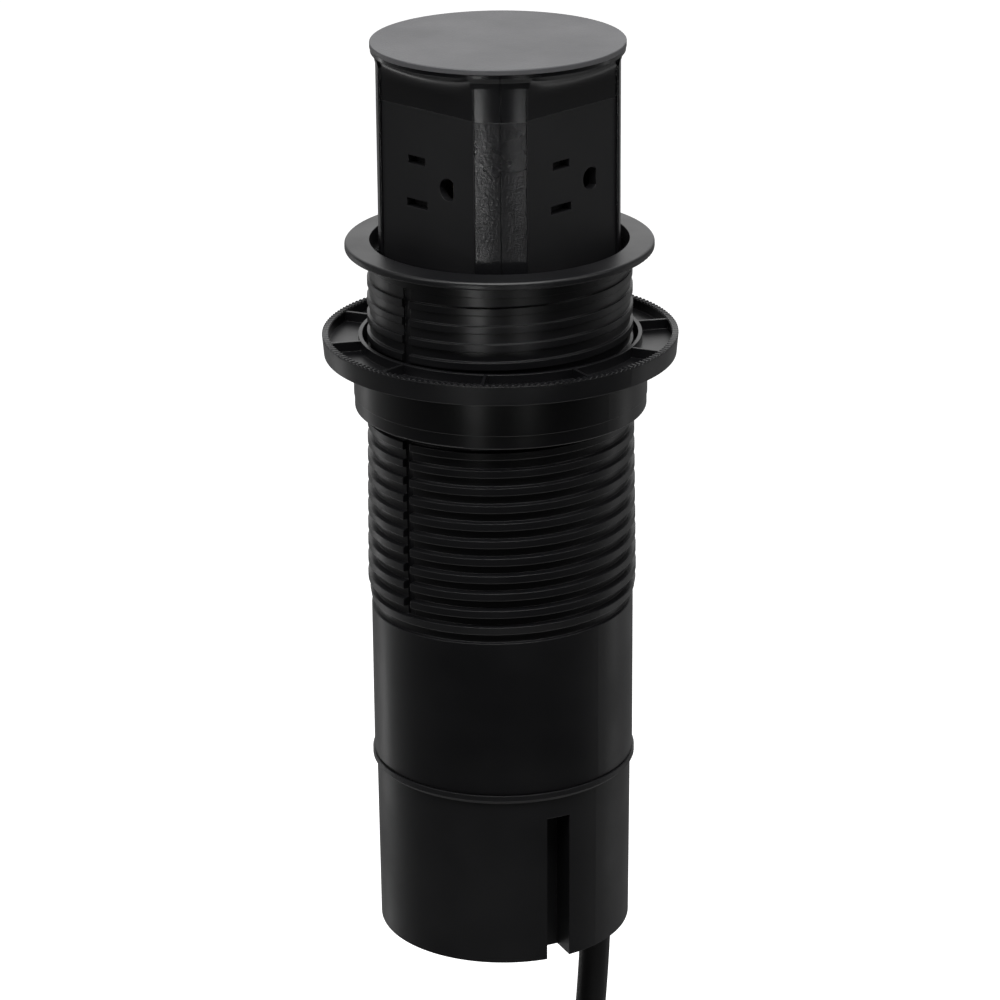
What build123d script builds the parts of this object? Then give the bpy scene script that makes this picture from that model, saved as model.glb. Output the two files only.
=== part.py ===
from build123d import *
import math
import os

os.makedirs("parts", exist_ok=True)

# All sizes are in millimetres. The origin is the centre of the flange's underside, where
# the desk top is, and +Z is up. The turret's faces look along +X, +Y, -X and -Y.
# The turret is drawn popped up, which is where its springs leave it.

CORNER = (Align.MIN, Align.MIN, Align.MIN)
BASE = (Align.CENTER, Align.CENTER, Align.MIN)
QUARTER = 90.0
FULL = 360.0

# General fits
SLIDE_GAP = 0.4
CLEAR = 0.3
SNUG = 0.05
BITE = 0.5

# Flange and sleeve
FLANGE_R = 44.9
FLANGE_EDGE_TOP = 2.2
FLANGE_TOP = 2.6
FLANGE_TOP_ROUND = 0.8
FLANGE_BOTTOM_ROUND = 0.5
OPENING_R = 37.7
THROAT_R = 37.0
THROAT_TOP = -1.0
THROAT_BOTTOM = -3.2
BORE_R = 35.7
BORE_TOP = -8.0
NECK_R = 38.6
NECK_BOTTOM = -4.2
ROOT_R = 37.9
TUBE_R = 39.0
TUBE_TOP = -109.7
SLEEVE_BOTTOM = -156.5

# The coarse thread, one right-handed start on a crest that widens downwards
PITCH = 5.35
CREST_TOP_AT_SEAM = -6.75
SEAM_ANGLE = -45.8
CREST_BASE_WIDTH = 2.9
CREST_TIP_WIDTH = 2.2
CREST_DEPTH = 2.6
CREST_R_TOP = 38.5
CREST_R_LOW = 39.8
CREST_TAPER_TOP = -5.0
CREST_TAPER_LOW = -92.0
THREAD_TURNS = 20.2
THREAD_UPPER_END = -2.9
FADE_R = 39.95
FADE_TOP = -101.0
FADE_BOTTOM = -107.0
FADE_END = -113.0
FADE_OUT_R = 41.0
PARTING_SLOT_WIDTH = 2.6
PARTING_SLOT_DEPTH_R = 37.3
PARTING_SLOT_BOTTOM = -104.0

# Rails that key the turret, and the lugs that stop it
RAIL_HALF_WIDTH = 3.0
RAIL_INNER = 31.2
RAIL_TOP = -16.0
RAIL_RUN_OUT = 9.7
LUG_INNER = 29.2
LUG_BOTTOM = -24.0
LUG_FRONT_HALF = 4.0
LUG_BACK_Y = (8.0, 14.0)

# Travel of the turret, down to flush with the flange and a little past it to let go
LIFT_TO_FLUSH = 58.3
OVER_PUSH = 2.0
LIFT_TRAVEL = LIFT_TO_FLUSH + OVER_PUSH

# Base cup
CUP_BOTTOM = -212.0
CUP_TOP_R = 38.3
CUP_BOTTOM_R = 37.95
CUP_INNER_R = 35.5
LIP_R = 39.55
LIP_BOTTOM = -158.4
LIP_FILLET = 1.2
LIP_SEAM = 0.3
LIP_SEAM_R = 38.6
SPIGOT_R = 35.4
SPIGOT_INNER_R = 33.0
SPIGOT_TOP = -146.6
LEDGE_INNER_R = 31.0
LEDGE_TOP = -150.0
SHOULDER_BOTTOM = -159.5
SHOULDER_FOOT = -163.5
COVER_TOP = -187.0
COVER_THICK = 3.0
COVER_R = 35.35
POST_R = 3.2
POST_PLACE_R = 24.0
POST_ANGLES = (90.0, 200.0, 290.0)
POST_WEB_HALF = 1.5
POST_WEB_OUT = 36.5
NOTCH_ANGLE = -20.9
NOTCH_HALF = 3.65
NOTCH_TOP = -165.7
NOTCH_BACK = 29.5
NOTCH_WALL = 1.6

# Screws, all of one pan-headed pattern
SCREW_R = 1.4
SCREW_HEAD_R = 2.6
SCREW_HEAD_H = 1.8
SCREW_LENGTH = 9.0

# Mechanism plate and lift spring
PLATE_TOP = -146.0
PLATE_R = 32.9
SPRING_R = 28.0
SPRING_WIRE_R = 1.0
SPRING_TURNS = 8

# Carriage at the turret's foot
CARRIAGE_R = 35.3
CARRIAGE_TOP = -24.0
CARRIAGE_ROOF = -26.2
CARRIAGE_WALL_R = 32.8
CARRIAGE_HOLE_R = 20.0
SEAT_TOP = -38.0
SEAT_BOTTOM = -40.0
RAIL_BOTTOM = SEAT_BOTTOM - LIFT_TRAVEL - RAIL_RUN_OUT
KEYWAY_HALF = RAIL_HALF_WIDTH + CLEAR
KEYWAY_INNER = RAIL_INNER - SLIDE_GAP

# Damper: a pinion on the turret that runs down a rack in the sleeve
GEAR_MODULE = 0.8
PINION_TEETH = 10
PINION_Y = -1.5
PINION_Z = -32.0
PINION_X = (-33.8, -30.2)
TOOTH_TIP_SHARE = 0.22
TOOTH_ROOT_SHARE = 0.52
ADDENDUM = GEAR_MODULE
DEDENDUM_SHARE = 1.25
DEDENDUM = GEAR_MODULE * DEDENDUM_SHARE
PINION_PITCH_R = GEAR_MODULE * PINION_TEETH / 2
RACK_TOP = -26.0
RACK_PITCH = math.pi * GEAR_MODULE
RACK_TEETH = math.ceil((RACK_TOP - PINION_Z + LIFT_TRAVEL + PINION_PITCH_R) / RACK_PITCH)
RACK_BACK_Y = -9.0
RACK_SLOT_Y = (-9.5, -4.3)
RACK_SLOT_INNER = -29.8
PINION_SLOT_TOP_Y = 3.7
DAMPER_R = 5.8
DAMPER_X = (-29.6, -22.6)
DAMPER_SHAFT_R = 1.2
DAMPER_SHAFT_END = -24.4

# Push-push latch: a heart-shaped cam on the turret and a swinging follower on the base
CAM_HALF_WIDTH = 6.0
CAM_HALF_THICK = 2.5
CAM_BOTTOM = -68.0
GROOVE_DEPTH = 2.7
GROOVE_HALF = 4.3
GROOVE_TOP = -53.4
HEART_NOTCH = -57.7
HEART_HORN = 1.3
HEART_HALF = 1.7
HEART_WAIST = -61.0
HEART_POINT = -64.0
HEART_POINT_HALF = 0.4
CAM_PEG_R = 2.0
FOLLOWER_ARM = 25.0
FOLLOWER_SIDE = 3.0
FOLLOWER_LEAN = math.degrees(math.asin(FOLLOWER_SIDE / FOLLOWER_ARM))
FOLLOWER_PIN_R = 1.0
FOLLOWER_PIN_END = 0.3
FOLLOWER_X = (3.5, 5.5)
FOLLOWER_HALF = 2.0
FOLLOWER_HEAD = 2.4
PIVOT_Z = -140.0
PIVOT_R = 1.0
EAR_X = ((1.2, 3.2), (5.8, 7.8))
EAR_HALF = 4.0
EAR_TOP = -137.0

# Turret section and heights
COLUMN_R = 35.0
FACE_PLANE = 28.7
FACE_HALF = 18.4
COLUMN_ROUND = 0.5
FACE_THICK = 2.7
COLUMN_WALL = 2.6
SHELL_TOP = 45.5
FACE_BOTTOM = -8.0
SEAM_GAP = 0.15
LID_R = 36.6
LID_TOP = 60.93
LID_BOTTOM = 59.4
LID_ROUND = 0.25
LID_RING_R = 25.2
LID_RING_WALL = 1.6
ROOF_BOTTOM = 57.0
RIM_R = 36.4
RIM_BOTTOM = 58.2
COVE_HEIGHT = 7.0
COVE_STEPS = 4
FLARE_BOTTOM = 54.7
FLARE_BOW = 0.45
BOSS_PLACE = 29.0
BOSS_R = 3.5
SIDE_BOSS_PLACE = 23.5
BOSS_FOOT_TOP = -6.0
SIDE_BOSS_TOP = -9.5
BOSS_HEAD_BOTTOM = 33.0
TURRET_SCREW_R = 1.6
TURRET_SCREW_HEAD_R = 3.0
TURRET_SCREW_HEAD_H = 2.0
TURRET_SCREW_TIP = -12.0
CAP_SCREW_TIP = 38.0

# Outlets, the same on all four faces; s runs to the right as seen from outside
SLOT_S = -4.45
LINE_Z = 30.3
LINE_SLOT = (6.8, 2.4)
NEUTRAL_Z = 17.6
NEUTRAL_SLOT = (8.3, 2.4)
GROUND_S = 7.85
GROUND_Z = 23.95
GROUND_HOLE_R = 3.25
GROUND_FLAT_S = 10.0

# Shutters behind each face, and their guides and springs
SHUTTER_X = (24.3, 25.7)
SHUTTER_S = (-9.5, 2.7)
SHUTTER_Z = (14.9, 35.2)
SHUTTER_TRAVEL = 3.6
WINDOW_EXTRA = 0.2
GUIDE_X = (23.0, 24.0)
GUIDE_BAR = 1.2
GUIDE_LAP = 1.0
GUIDE_Z = (4.5, 36.7)
SPRING_LEDGE = 6.0
STRIP_X = (24.5, 25.5)
STRIP_WIDTH = 0.5
STRIP_HALF = 2.6
STRIP_FOLDS = 5
STRIP_S = -3.4

# Contacts and the insulating stack that holds them
HUB_R = 8.9
HUB_BORE_R = 6.0
HUB_TOP = 36.0
COLLAR_R = 11.8
SPIDER_TOP = -3.0
SPIDER_ARM_HALF = 3.5
SPIDER_OUT = 30.5
BUS_R = 12.4
BUS_THICK = 0.8
BLADE_HALF = 0.7
FORK_X = (12.0, 22.4)
FORK_HALF = 3.0
GROUND_PLATE_Z = 22.5
GROUND_LEAF_S = (4.6, 9.6)
GROUND_LEAF_Z = (21.5, 26.4)
EAR_PLACE = 14.5
EAR_OUT = 16.2
BUS_EAR_HALF = 1.7
TOP_RING_Z = 33.0
CORE_R = 1.2
CORE_HOLE_R = 1.6
CORE_BEND = 3.0

# Clamp disc and nut
DISC_TOP = -25.8
DISC_BOTTOM = -31.5
DISC_BORE_R = 40.25
DISC_HUB_WALL = 1.15
DISC_HUB_R = DISC_BORE_R + DISC_HUB_WALL
DISC_WEB = 8.7
DISC_RIM = 1.9
DISC_TOP_R = DISC_HUB_R + DISC_WEB + DISC_RIM
DISC_DRAFT = 0.5
DISC_FLOOR = -28.7
DISC_RIBS = 10
DISC_RIB_FIRST = -51.8
DISC_RIB_HALF = 0.45
NUT_BOTTOM = -47.7
NUT_R = 43.0
NUT_STEP_Z = -43.6
NUT_STEP_R = 42.8
NUT_BORE_R = 40.1
NUT_ROUND = 0.5
NUT_CREST_R = 38.3
NUT_CREST_BITE = 0.6
NUT_CREST_TIP_WIDTH = 1.2
NUT_CREST_BASE_WIDTH = 1.6
NUT_TURNS = 1.7
NUT_CREST_TOP = -34.6

# Mains cord, gland, lead and terminal block
CORD_R = 4.7
GLAND_X = 20.2
GLAND_Y = 20.2
GLAND_BOOT_R = 6.4
GLAND_BOOT_TIP_R = 5.3
GLAND_BOOT_END = -210.0
GLAND_NECK_R = 5.9
GLAND_BARB_TOP = -184.4
GLAND_BARB_R = 6.9
CORD_TOP_Z = -181.0
CORD_BEND_Z = -214.0
CORD_END = (17.4, 18.6, -262.0)
LEAD_R = 3.5
LEAD_COIL_R = 14.0
LEAD_STEPS_PER_TURN = 6
LEAD_STEPS = 21
LEAD_END_ANGLE = 45.0
LEAD_STUB = 10.0
TURRET_LEAD_TOP = -22.0
BASE_LEAD_BOTTOM = -160.0
BLOCK_X = (-14.0, 6.0)
BLOCK_HALF_Y = 8.0
BLOCK_TOP = -175.0
BLOCK_POLE = 5.2
BLOCK_WIRE_Z = -181.0
TERMINAL_SCREW_R = 1.7
TERMINAL_SCREW_DEPTH = 1.5
CORD_CORE_TURN_Z = (-174.0, -171.0, -167.0)
CORD_CORE_DROP_X = 11.0
LEAD_CORE_TURN_Z = (-172.0, -169.0, -165.0)
LEAD_CORE_DROP_X = -19.0
CORD_TRIO_ANGLE = -30.0
LEAD_TRIO_ANGLE = -90.0
CORE_IN_CORD = 2.2
CORE_IN_LEAD = 1.75

# Hank of the cord's put-away length
HANK_FOLD_R = 28.5
HANK_STEP = 5.1
HANK_RUNS = 7
HANK_TOP_CENTRE = -298.0
HANK_BOTTOM_CENTRE = -456.0
HANK_FIRST_Y = 18.6
WAIST_HALF_X = 7.5
WAIST_HALF_Z = 21.0
HANK_LEAD_IN = 13.0
TAIL_OUT_Y = -26.6
TAIL_KNEE_Z = -428.0
TAIL_END_Z = -442.0
ARC_SHARE = 0.45
NEIGHBOUR_POINTS = 10
TIE_HALF_Z = 6.0
TIE_THICK = 1.2
TIE_CORNER = 3.0

# Plug, the usual three-pin one of this outlet pattern
PLUG_BOOT = 20.0
PLUG_BOOT_R = 5.6
PLUG_BOOT_TOP_R = 5.2
PLUG_BODY = 26.0
PLUG_HALF_X = 12.5
PLUG_HALF_Y = 8.6
PLUG_ROUND = 3.0
PLUG_BLADE_APART = 6.35
PLUG_BLADE_WIDTH = 6.3
PLUG_BLADE_THICK = 1.5
PLUG_BLADE_LENGTH = 16.0
PLUG_BLADE_Y = 3.0
PLUG_GROUND_Y = -5.0
PLUG_GROUND_R = 2.4
PLUG_GROUND_LENGTH = 17.5

# The parting plane of the turret's halves lies on the diagonal towards the front corner
SPLIT_NORMAL_ANGLE = 45.0
BIG = 1000.0


def block(xs, ys, zs):
    """A box between two places on each axis."""
    size = Box(xs[1] - xs[0], ys[1] - ys[0], zs[1] - zs[0], align=CORNER)
    return Pos(xs[0], ys[0], zs[0]) * size


def both(half):
    """The pair of places that are a half width either side of zero."""
    return (-half, half)


def disc(radius, bottom, top, at=(0, 0)):
    """An upright cylinder between two heights."""
    return Pos(at[0], at[1], bottom) * Cylinder(radius, top - bottom, align=BASE)


def ring(outer, inner, bottom, top):
    """A disc with a central bore."""
    return disc(outer, bottom, top) - disc(inner, bottom, top)


def turned(points):
    """An outline of (radius, height) points turned about the Z axis."""
    return revolve(Plane.XZ * make_face(Polyline(*points, close=True)), Axis.Z)


def polar(radius, angle):
    """The plan place at a radius and an angle in degrees."""
    turn = math.radians(angle)
    return (radius * math.cos(turn), radius * math.sin(turn))


def facing(angle, body):
    """A body built looking along +X, turned to look along another direction."""
    return Rot(0, 0, angle) * body


def rod_x(radius, xs, y, z):
    """A rod along the X axis."""
    rod = Rot(0, QUARTER, 0) * Cylinder(radius, xs[1] - xs[0], align=BASE)
    return Pos(xs[0], y, z) * rod


def screw(place, seat, tip, radius, head_r, head_h):
    """A pan-headed screw along Z: seat is under its head and tip is its far end."""
    low, high = min(seat, tip), max(seat, tip)
    shank = disc(radius, low, high, place)
    if seat > tip:
        return shank + disc(head_r, seat, seat + head_h, place)
    return shank + disc(head_r, seat - head_h, seat, place)


def filled_share(body, radius, path):
    """A tube's volume over its section times its length, which is 1 where it is sound."""
    return round(body.volume / (math.pi * radius * radius * path.length), 4)


def tube(points, radius, label=None, bend=BIG):
    """A round tube along straight runs that tangent arcs join, as large as they can be up to a bend."""
    route = [Vector(*point) for point in points]
    runs = [(b - a).length for a, b in zip(route, route[1:])]
    radii = []
    for index in range(1, len(route) - 1):
        turn = math.radians((route[index] - route[index - 1]).get_angle(route[index + 1] - route[index]))
        largest = ARC_SHARE * min(runs[index - 1], runs[index]) / math.tan(turn / 2)
        radii.append(min(bend, largest))
    if label:
        print(label, "arc radii", [round(value, 1) for value in radii])
    path = FilletPolyline(*route, radius=radii)
    start = Plane(origin=route[0], z_dir=route[1] - route[0])
    body = sweep(start * Circle(radius), path=path)
    if label:
        print(label, "volume over section times length", filled_share(body, radius, path))
    return body


# The sleeve with its flange, thread, rails and stop lugs


def crest_radius(height):
    """The thread's crest widens slightly downwards."""
    share = (CREST_TAPER_TOP - height) / (CREST_TAPER_TOP - CREST_TAPER_LOW)
    return CREST_R_TOP + (CREST_R_LOW - CREST_R_TOP) * share


def crest_centre(angle):
    """Height of the crest's middle line at an angle, on the turn nearest the flange."""
    return CREST_TOP_AT_SEAM - CREST_BASE_WIDTH / 2 + PITCH * (angle - SEAM_ANGLE) / FULL


def helical_ridge(outline, radius, middle, turns, taper=0.0):
    """A ridge of (outwards, along) outline points swept down a right-handed helix."""
    rise = PITCH * turns
    foot = middle - rise
    angle = SEAM_ANGLE + FULL * (foot - crest_centre(SEAM_ANGLE)) / PITCH
    helix = Helix(pitch=PITCH, height=rise, radius=radius, cone_angle=-taper)
    section = Plane(origin=helix @ 0, x_dir=(1, 0, 0), z_dir=(0, 1, 0)) * make_face(
        Polyline(*outline, close=True)
    )
    return Pos(0, 0, foot) * facing(angle, sweep(section, path=helix, is_frenet=True))


def outer_thread():
    """The whole coarse thread, from inside the neck down into the plain tube."""
    middle = THREAD_UPPER_END - CREST_BASE_WIDTH / 2
    foot_radius = crest_radius(middle - PITCH * THREAD_TURNS)
    drop = CREST_TAPER_TOP - CREST_TAPER_LOW
    taper = math.degrees(math.atan((CREST_R_LOW - CREST_R_TOP) / drop))
    outline = [
        (-CREST_DEPTH, -CREST_BASE_WIDTH / 2),
        (0, -CREST_TIP_WIDTH / 2),
        (0, CREST_TIP_WIDTH / 2),
        (-CREST_DEPTH, CREST_BASE_WIDTH / 2),
    ]
    ridge = helical_ridge(outline, foot_radius, middle, THREAD_TURNS, taper)
    return ridge - disc(THROAT_R + SNUG, BORE_TOP - PITCH, 0)


def threaded_sleeve():
    """One moulding: flange, neck, thread and plain tube, with rails and lugs in its bore."""
    wall = turned(
        [
            (OPENING_R, FLANGE_TOP),
            (FLANGE_R, FLANGE_EDGE_TOP),
            (FLANGE_R, 0),
            (NECK_R, 0),
            (NECK_R, NECK_BOTTOM),
            (ROOT_R, NECK_BOTTOM),
            (ROOT_R, TUBE_TOP),
            (TUBE_R, TUBE_TOP),
            (TUBE_R, SLEEVE_BOTTOM),
            (BORE_R, SLEEVE_BOTTOM),
            (BORE_R, BORE_TOP),
            (THROAT_R, THROAT_BOTTOM),
            (THROAT_R, THROAT_TOP),
        ]
    )
    rims = [edge for edge in wall.edges().filter_by(GeomType.CIRCLE) if abs(edge.radius - FLANGE_R) < SNUG]
    rims.sort(key=lambda edge: edge.center().Z)
    wall = fillet(rims[-1:], FLANGE_TOP_ROUND)
    rims = [edge for edge in wall.edges().filter_by(GeomType.CIRCLE) if abs(edge.radius - FLANGE_R) < SNUG]
    rims.sort(key=lambda edge: edge.center().Z)
    wall = fillet(rims[:1], FLANGE_BOTTOM_ROUND)
    body = wall + outer_thread()
    body -= turned(
        [
            (FADE_OUT_R, FADE_TOP),
            (FADE_R, FADE_TOP),
            (TUBE_R, FADE_BOTTOM),
            (TUBE_R, FADE_END),
            (FADE_OUT_R, FADE_END),
        ]
    )
    slot_height = (PARTING_SLOT_BOTTOM, NECK_BOTTOM)
    slot = block((PARTING_SLOT_DEPTH_R, FADE_OUT_R), both(PARTING_SLOT_WIDTH / 2), slot_height)
    for side in (QUARTER, -QUARTER):
        body -= facing(side, slot)
    inside = disc(BORE_R + BITE, RAIL_BOTTOM, RAIL_TOP)
    inner = [
        block((RAIL_INNER, BORE_R + BITE), both(RAIL_HALF_WIDTH), (RAIL_BOTTOM, RAIL_TOP)),
        block((LUG_INNER, BORE_R + BITE), both(LUG_FRONT_HALF), (LUG_BOTTOM, RAIL_TOP)),
        block((-BORE_R - BITE, -LUG_INNER), LUG_BACK_Y, (LUG_BOTTOM, RAIL_TOP)),
    ]
    body += facing(QUARTER, inner[0]) & inside
    body += facing(-QUARTER, inner[0]) & inside
    body += inner[1] & inside
    body += inner[2] & inside
    return body


# The base: cup, cover, mechanism plate and their screws


def base_cup():
    """The lower cup with its spigot, ledge, screw posts and cord notch."""
    body = turned(
        [
            (SPIGOT_INNER_R, SPIGOT_TOP),
            (SPIGOT_R, SPIGOT_TOP),
            (SPIGOT_R, SLEEVE_BOTTOM),
            (LIP_SEAM_R, SLEEVE_BOTTOM),
            (LIP_SEAM_R, SLEEVE_BOTTOM - LIP_SEAM),
            (LIP_R, SLEEVE_BOTTOM - LIP_SEAM),
            (LIP_R, LIP_BOTTOM),
            (CUP_TOP_R, LIP_BOTTOM - LIP_FILLET),
            (CUP_BOTTOM_R, CUP_BOTTOM),
            (CUP_INNER_R, CUP_BOTTOM),
            (CUP_INNER_R, SHOULDER_FOOT),
            (LEDGE_INNER_R, SHOULDER_BOTTOM),
            (LEDGE_INNER_R, LEDGE_TOP),
            (SPIGOT_INNER_R, LEDGE_TOP),
        ]
    )
    within = disc(CUP_INNER_R + BITE, COVER_TOP, SHOULDER_BOTTOM)
    within += disc(SPIGOT_R - BITE, SHOULDER_BOTTOM, LEDGE_TOP)
    for angle in POST_ANGLES:
        place = polar(POST_PLACE_R, angle)
        web = facing(angle, block((POST_PLACE_R, POST_WEB_OUT), both(POST_WEB_HALF), (COVER_TOP, LEDGE_TOP)))
        body += web & within
        body += disc(POST_R, COVER_TOP, LEDGE_TOP, place)
    for angle in POST_ANGLES:
        place = polar(POST_PLACE_R, angle)
        body -= disc(SCREW_R + SNUG, COVER_TOP, COVER_TOP + SCREW_LENGTH, place)
        body -= disc(SCREW_R + SNUG, LEDGE_TOP - SCREW_LENGTH, LEDGE_TOP, place)
    casing = block(
        (NOTCH_BACK - NOTCH_WALL, CUP_INNER_R + BITE),
        both(NOTCH_HALF + NOTCH_WALL),
        (CUP_BOTTOM, NOTCH_TOP + NOTCH_WALL),
    )
    channel = block((NOTCH_BACK, LIP_R), both(NOTCH_HALF), (CUP_BOTTOM, NOTCH_TOP))
    body += facing(NOTCH_ANGLE, casing) & disc(CUP_INNER_R + BITE, CUP_BOTTOM, LEDGE_TOP)
    body -= facing(NOTCH_ANGLE, channel)
    return body


def base_cover():
    """The floor of the cup, cut back round the notch, with the gland's hole."""
    body = disc(COVER_R, COVER_TOP - COVER_THICK, COVER_TOP)
    around = block(
        (NOTCH_BACK - NOTCH_WALL - CLEAR, LIP_R),
        both(NOTCH_HALF + NOTCH_WALL + CLEAR),
        (COVER_TOP - COVER_THICK, COVER_TOP),
    )
    body -= facing(NOTCH_ANGLE, around)
    body -= disc(GLAND_NECK_R, COVER_TOP - COVER_THICK, COVER_TOP, (GLAND_X, GLAND_Y))
    for angle in POST_ANGLES:
        body -= disc(SCREW_R + SNUG, COVER_TOP - COVER_THICK, COVER_TOP, polar(POST_PLACE_R, angle))
    return body


def cover_screws():
    """Three screws up through the cover into the cup's posts."""
    seat = COVER_TOP - COVER_THICK
    return [
        screw(polar(POST_PLACE_R, angle), seat, seat + SCREW_LENGTH, SCREW_R, SCREW_HEAD_R, SCREW_HEAD_H)
        for angle in POST_ANGLES
    ]


def plate_screws():
    """Three screws down through the mechanism plate into the cup's posts."""
    return [
        screw(
            polar(POST_PLACE_R, angle),
            PLATE_TOP,
            PLATE_TOP - SCREW_LENGTH,
            SCREW_R,
            SCREW_HEAD_R,
            SCREW_HEAD_H,
        )
        for angle in POST_ANGLES
    ]


def mechanism_plate():
    """The plate that carries the lift spring, the lead's coil and the latch follower."""
    body = disc(PLATE_R, LEDGE_TOP, PLATE_TOP)
    ears = block(EAR_X[0], both(EAR_HALF), (PLATE_TOP, EAR_TOP))
    ears += block(EAR_X[1], both(EAR_HALF), (PLATE_TOP, EAR_TOP))
    body += ears
    body -= rod_x(PIVOT_R, (EAR_X[0][0], EAR_X[1][1]), 0, PIVOT_Z)
    for angle in POST_ANGLES:
        body -= disc(SCREW_R + SNUG, LEDGE_TOP, PLATE_TOP, polar(POST_PLACE_R, angle))
    body -= disc(LEAD_R, LEDGE_TOP, PLATE_TOP, lead_foot())
    return body


def latch_pivot():
    """The pin that the follower swings on."""
    return rod_x(PIVOT_R, (EAR_X[0][0], EAR_X[1][1]), 0, PIVOT_Z)


def latch_follower():
    """A lever with a pin that runs in the cam's groove, leaning to the way-in side."""
    lever = block(
        FOLLOWER_X,
        both(FOLLOWER_HALF),
        (PIVOT_Z - FOLLOWER_HEAD, PIVOT_Z + FOLLOWER_ARM + FOLLOWER_HEAD),
    )
    lever -= rod_x(PIVOT_R + SNUG, FOLLOWER_X, 0, PIVOT_Z)
    lever += rod_x(FOLLOWER_PIN_R, (FOLLOWER_PIN_END, FOLLOWER_X[0]), 0, PIVOT_Z + FOLLOWER_ARM)
    about = Pos(0, 0, PIVOT_Z)
    return about * Rot(FOLLOWER_LEAN, 0, 0) * about.inverse() * lever


def lift_spring():
    """The compression spring under the turret."""
    bottom = PLATE_TOP + SPRING_WIRE_R
    rise = SEAT_BOTTOM - SPRING_WIRE_R - bottom
    helix = Helix(pitch=rise / SPRING_TURNS, height=rise, radius=SPRING_R)
    section = Plane(origin=helix @ 0, z_dir=helix % 0) * Circle(SPRING_WIRE_R)
    return Pos(0, 0, bottom) * sweep(section, path=helix, is_frenet=True)


def lead_foot():
    """Plan place where the coiled lead stands on the mechanism plate."""
    return polar(LEAD_COIL_R, LEAD_END_ANGLE - LEAD_STEPS * FULL / LEAD_STEPS_PER_TURN)


def lead_head():
    """Plan place where the coiled lead meets the turret's spring seat."""
    return polar(LEAD_COIL_R, LEAD_END_ANGLE)


def service_lead():
    """The coiled lead between the plate and the turret, which folds up as the turret sinks."""
    step = FULL / LEAD_STEPS_PER_TURN
    corner_r = LEAD_COIL_R / math.cos(math.radians(step / 2))
    bottom = PLATE_TOP + LEAD_STUB
    top = SEAT_BOTTOM - LEAD_STUB
    start = LEAD_END_ANGLE - LEAD_STEPS * step
    points = [(*lead_foot(), PLATE_TOP)]
    points.append((*lead_foot(), bottom))
    for index in range(LEAD_STEPS):
        place = polar(corner_r, start + (index + 1 / 2) * step)
        points.append((*place, bottom + (top - bottom) * (index + 1 / 2) / LEAD_STEPS))
    points.append((*lead_head(), top))
    points.append((*lead_head(), SEAT_BOTTOM))
    return tube(points, LEAD_R, "service_lead")


def damper_rack():
    """The rack down the sleeve's bore, with its back curved to the bore."""
    pitch = RACK_PITCH
    line = PINION_Y - PINION_PITCH_R
    bottom = RACK_TOP - pitch * RACK_TEETH
    first = PINION_Z + pitch / 2
    first += pitch * math.floor((RACK_TOP - pitch / 2 - first) / pitch)
    body = block((-BORE_R, PINION_X[1]), (RACK_BACK_Y, line - DEDENDUM), (bottom, RACK_TOP))
    tip = pitch * TOOTH_TIP_SHARE / 2
    root = pitch * TOOTH_ROOT_SHARE / 2
    for index in range(RACK_TEETH):
        middle = first - pitch * index
        outline = Polyline(
            (line - DEDENDUM - SNUG, middle - root),
            (line + ADDENDUM, middle - tip),
            (line + ADDENDUM, middle + tip),
            (line - DEDENDUM - SNUG, middle + root),
            close=True,
        )
        tooth = Plane.YZ * make_face(outline)
        body += Pos(PINION_X[0], 0, 0) * extrude(tooth, PINION_X[1] - PINION_X[0])
    return body & disc(BORE_R, bottom, RACK_TOP)


def damper_pinion():
    """The pinion that meets the rack, with the shaft that enters the damper."""
    step = FULL / PINION_TEETH
    root_r = PINION_PITCH_R - DEDENDUM
    body = rod_x(root_r, PINION_X, 0, 0)
    tip = RACK_PITCH * TOOTH_TIP_SHARE / 2
    root = RACK_PITCH * TOOTH_ROOT_SHARE / 2
    for index in range(PINION_TEETH):
        outline = Polyline(
            (root_r - BITE, -root),
            (root_r, -root),
            (PINION_PITCH_R + ADDENDUM, -tip),
            (PINION_PITCH_R + ADDENDUM, tip),
            (root_r, root),
            (root_r - BITE, root),
            close=True,
        )
        tooth = extrude(Plane.YZ * make_face(outline), PINION_X[1] - PINION_X[0])
        body += Rot(index * step, 0, 0) * Pos(PINION_X[0], 0, 0) * tooth
    body += rod_x(DAMPER_SHAFT_R, (PINION_X[1], DAMPER_SHAFT_END), 0, 0)
    return Pos(0, PINION_Y, PINION_Z) * body


def damper_body():
    """The oil-filled drum that slows the pinion."""
    body = rod_x(DAMPER_R, DAMPER_X, PINION_Y, PINION_Z)
    return body - rod_x(DAMPER_SHAFT_R + SNUG, (DAMPER_X[0], DAMPER_SHAFT_END + CLEAR), PINION_Y, PINION_Z)


# The turret's foot


def foot_cuts():
    """What the carriage and the spring seat both leave open: rails and rack."""
    keyway = block((KEYWAY_INNER, CARRIAGE_R), both(KEYWAY_HALF), (SEAT_BOTTOM, CARRIAGE_TOP))
    rack = block((-CARRIAGE_R, RACK_SLOT_INNER), RACK_SLOT_Y, (SEAT_BOTTOM, CARRIAGE_TOP))
    return facing(QUARTER, keyway) + facing(-QUARTER, keyway) + rack


def turret_screw_places():
    """Two screws in the full columns and two at the middle of the side faces."""
    return [
        polar(BOSS_PLACE, SPLIT_NORMAL_ANGLE),
        polar(BOSS_PLACE, SPLIT_NORMAL_ANGLE + FULL / 2),
        polar(SIDE_BOSS_PLACE, QUARTER),
        polar(SIDE_BOSS_PLACE, -QUARTER),
    ]


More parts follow.
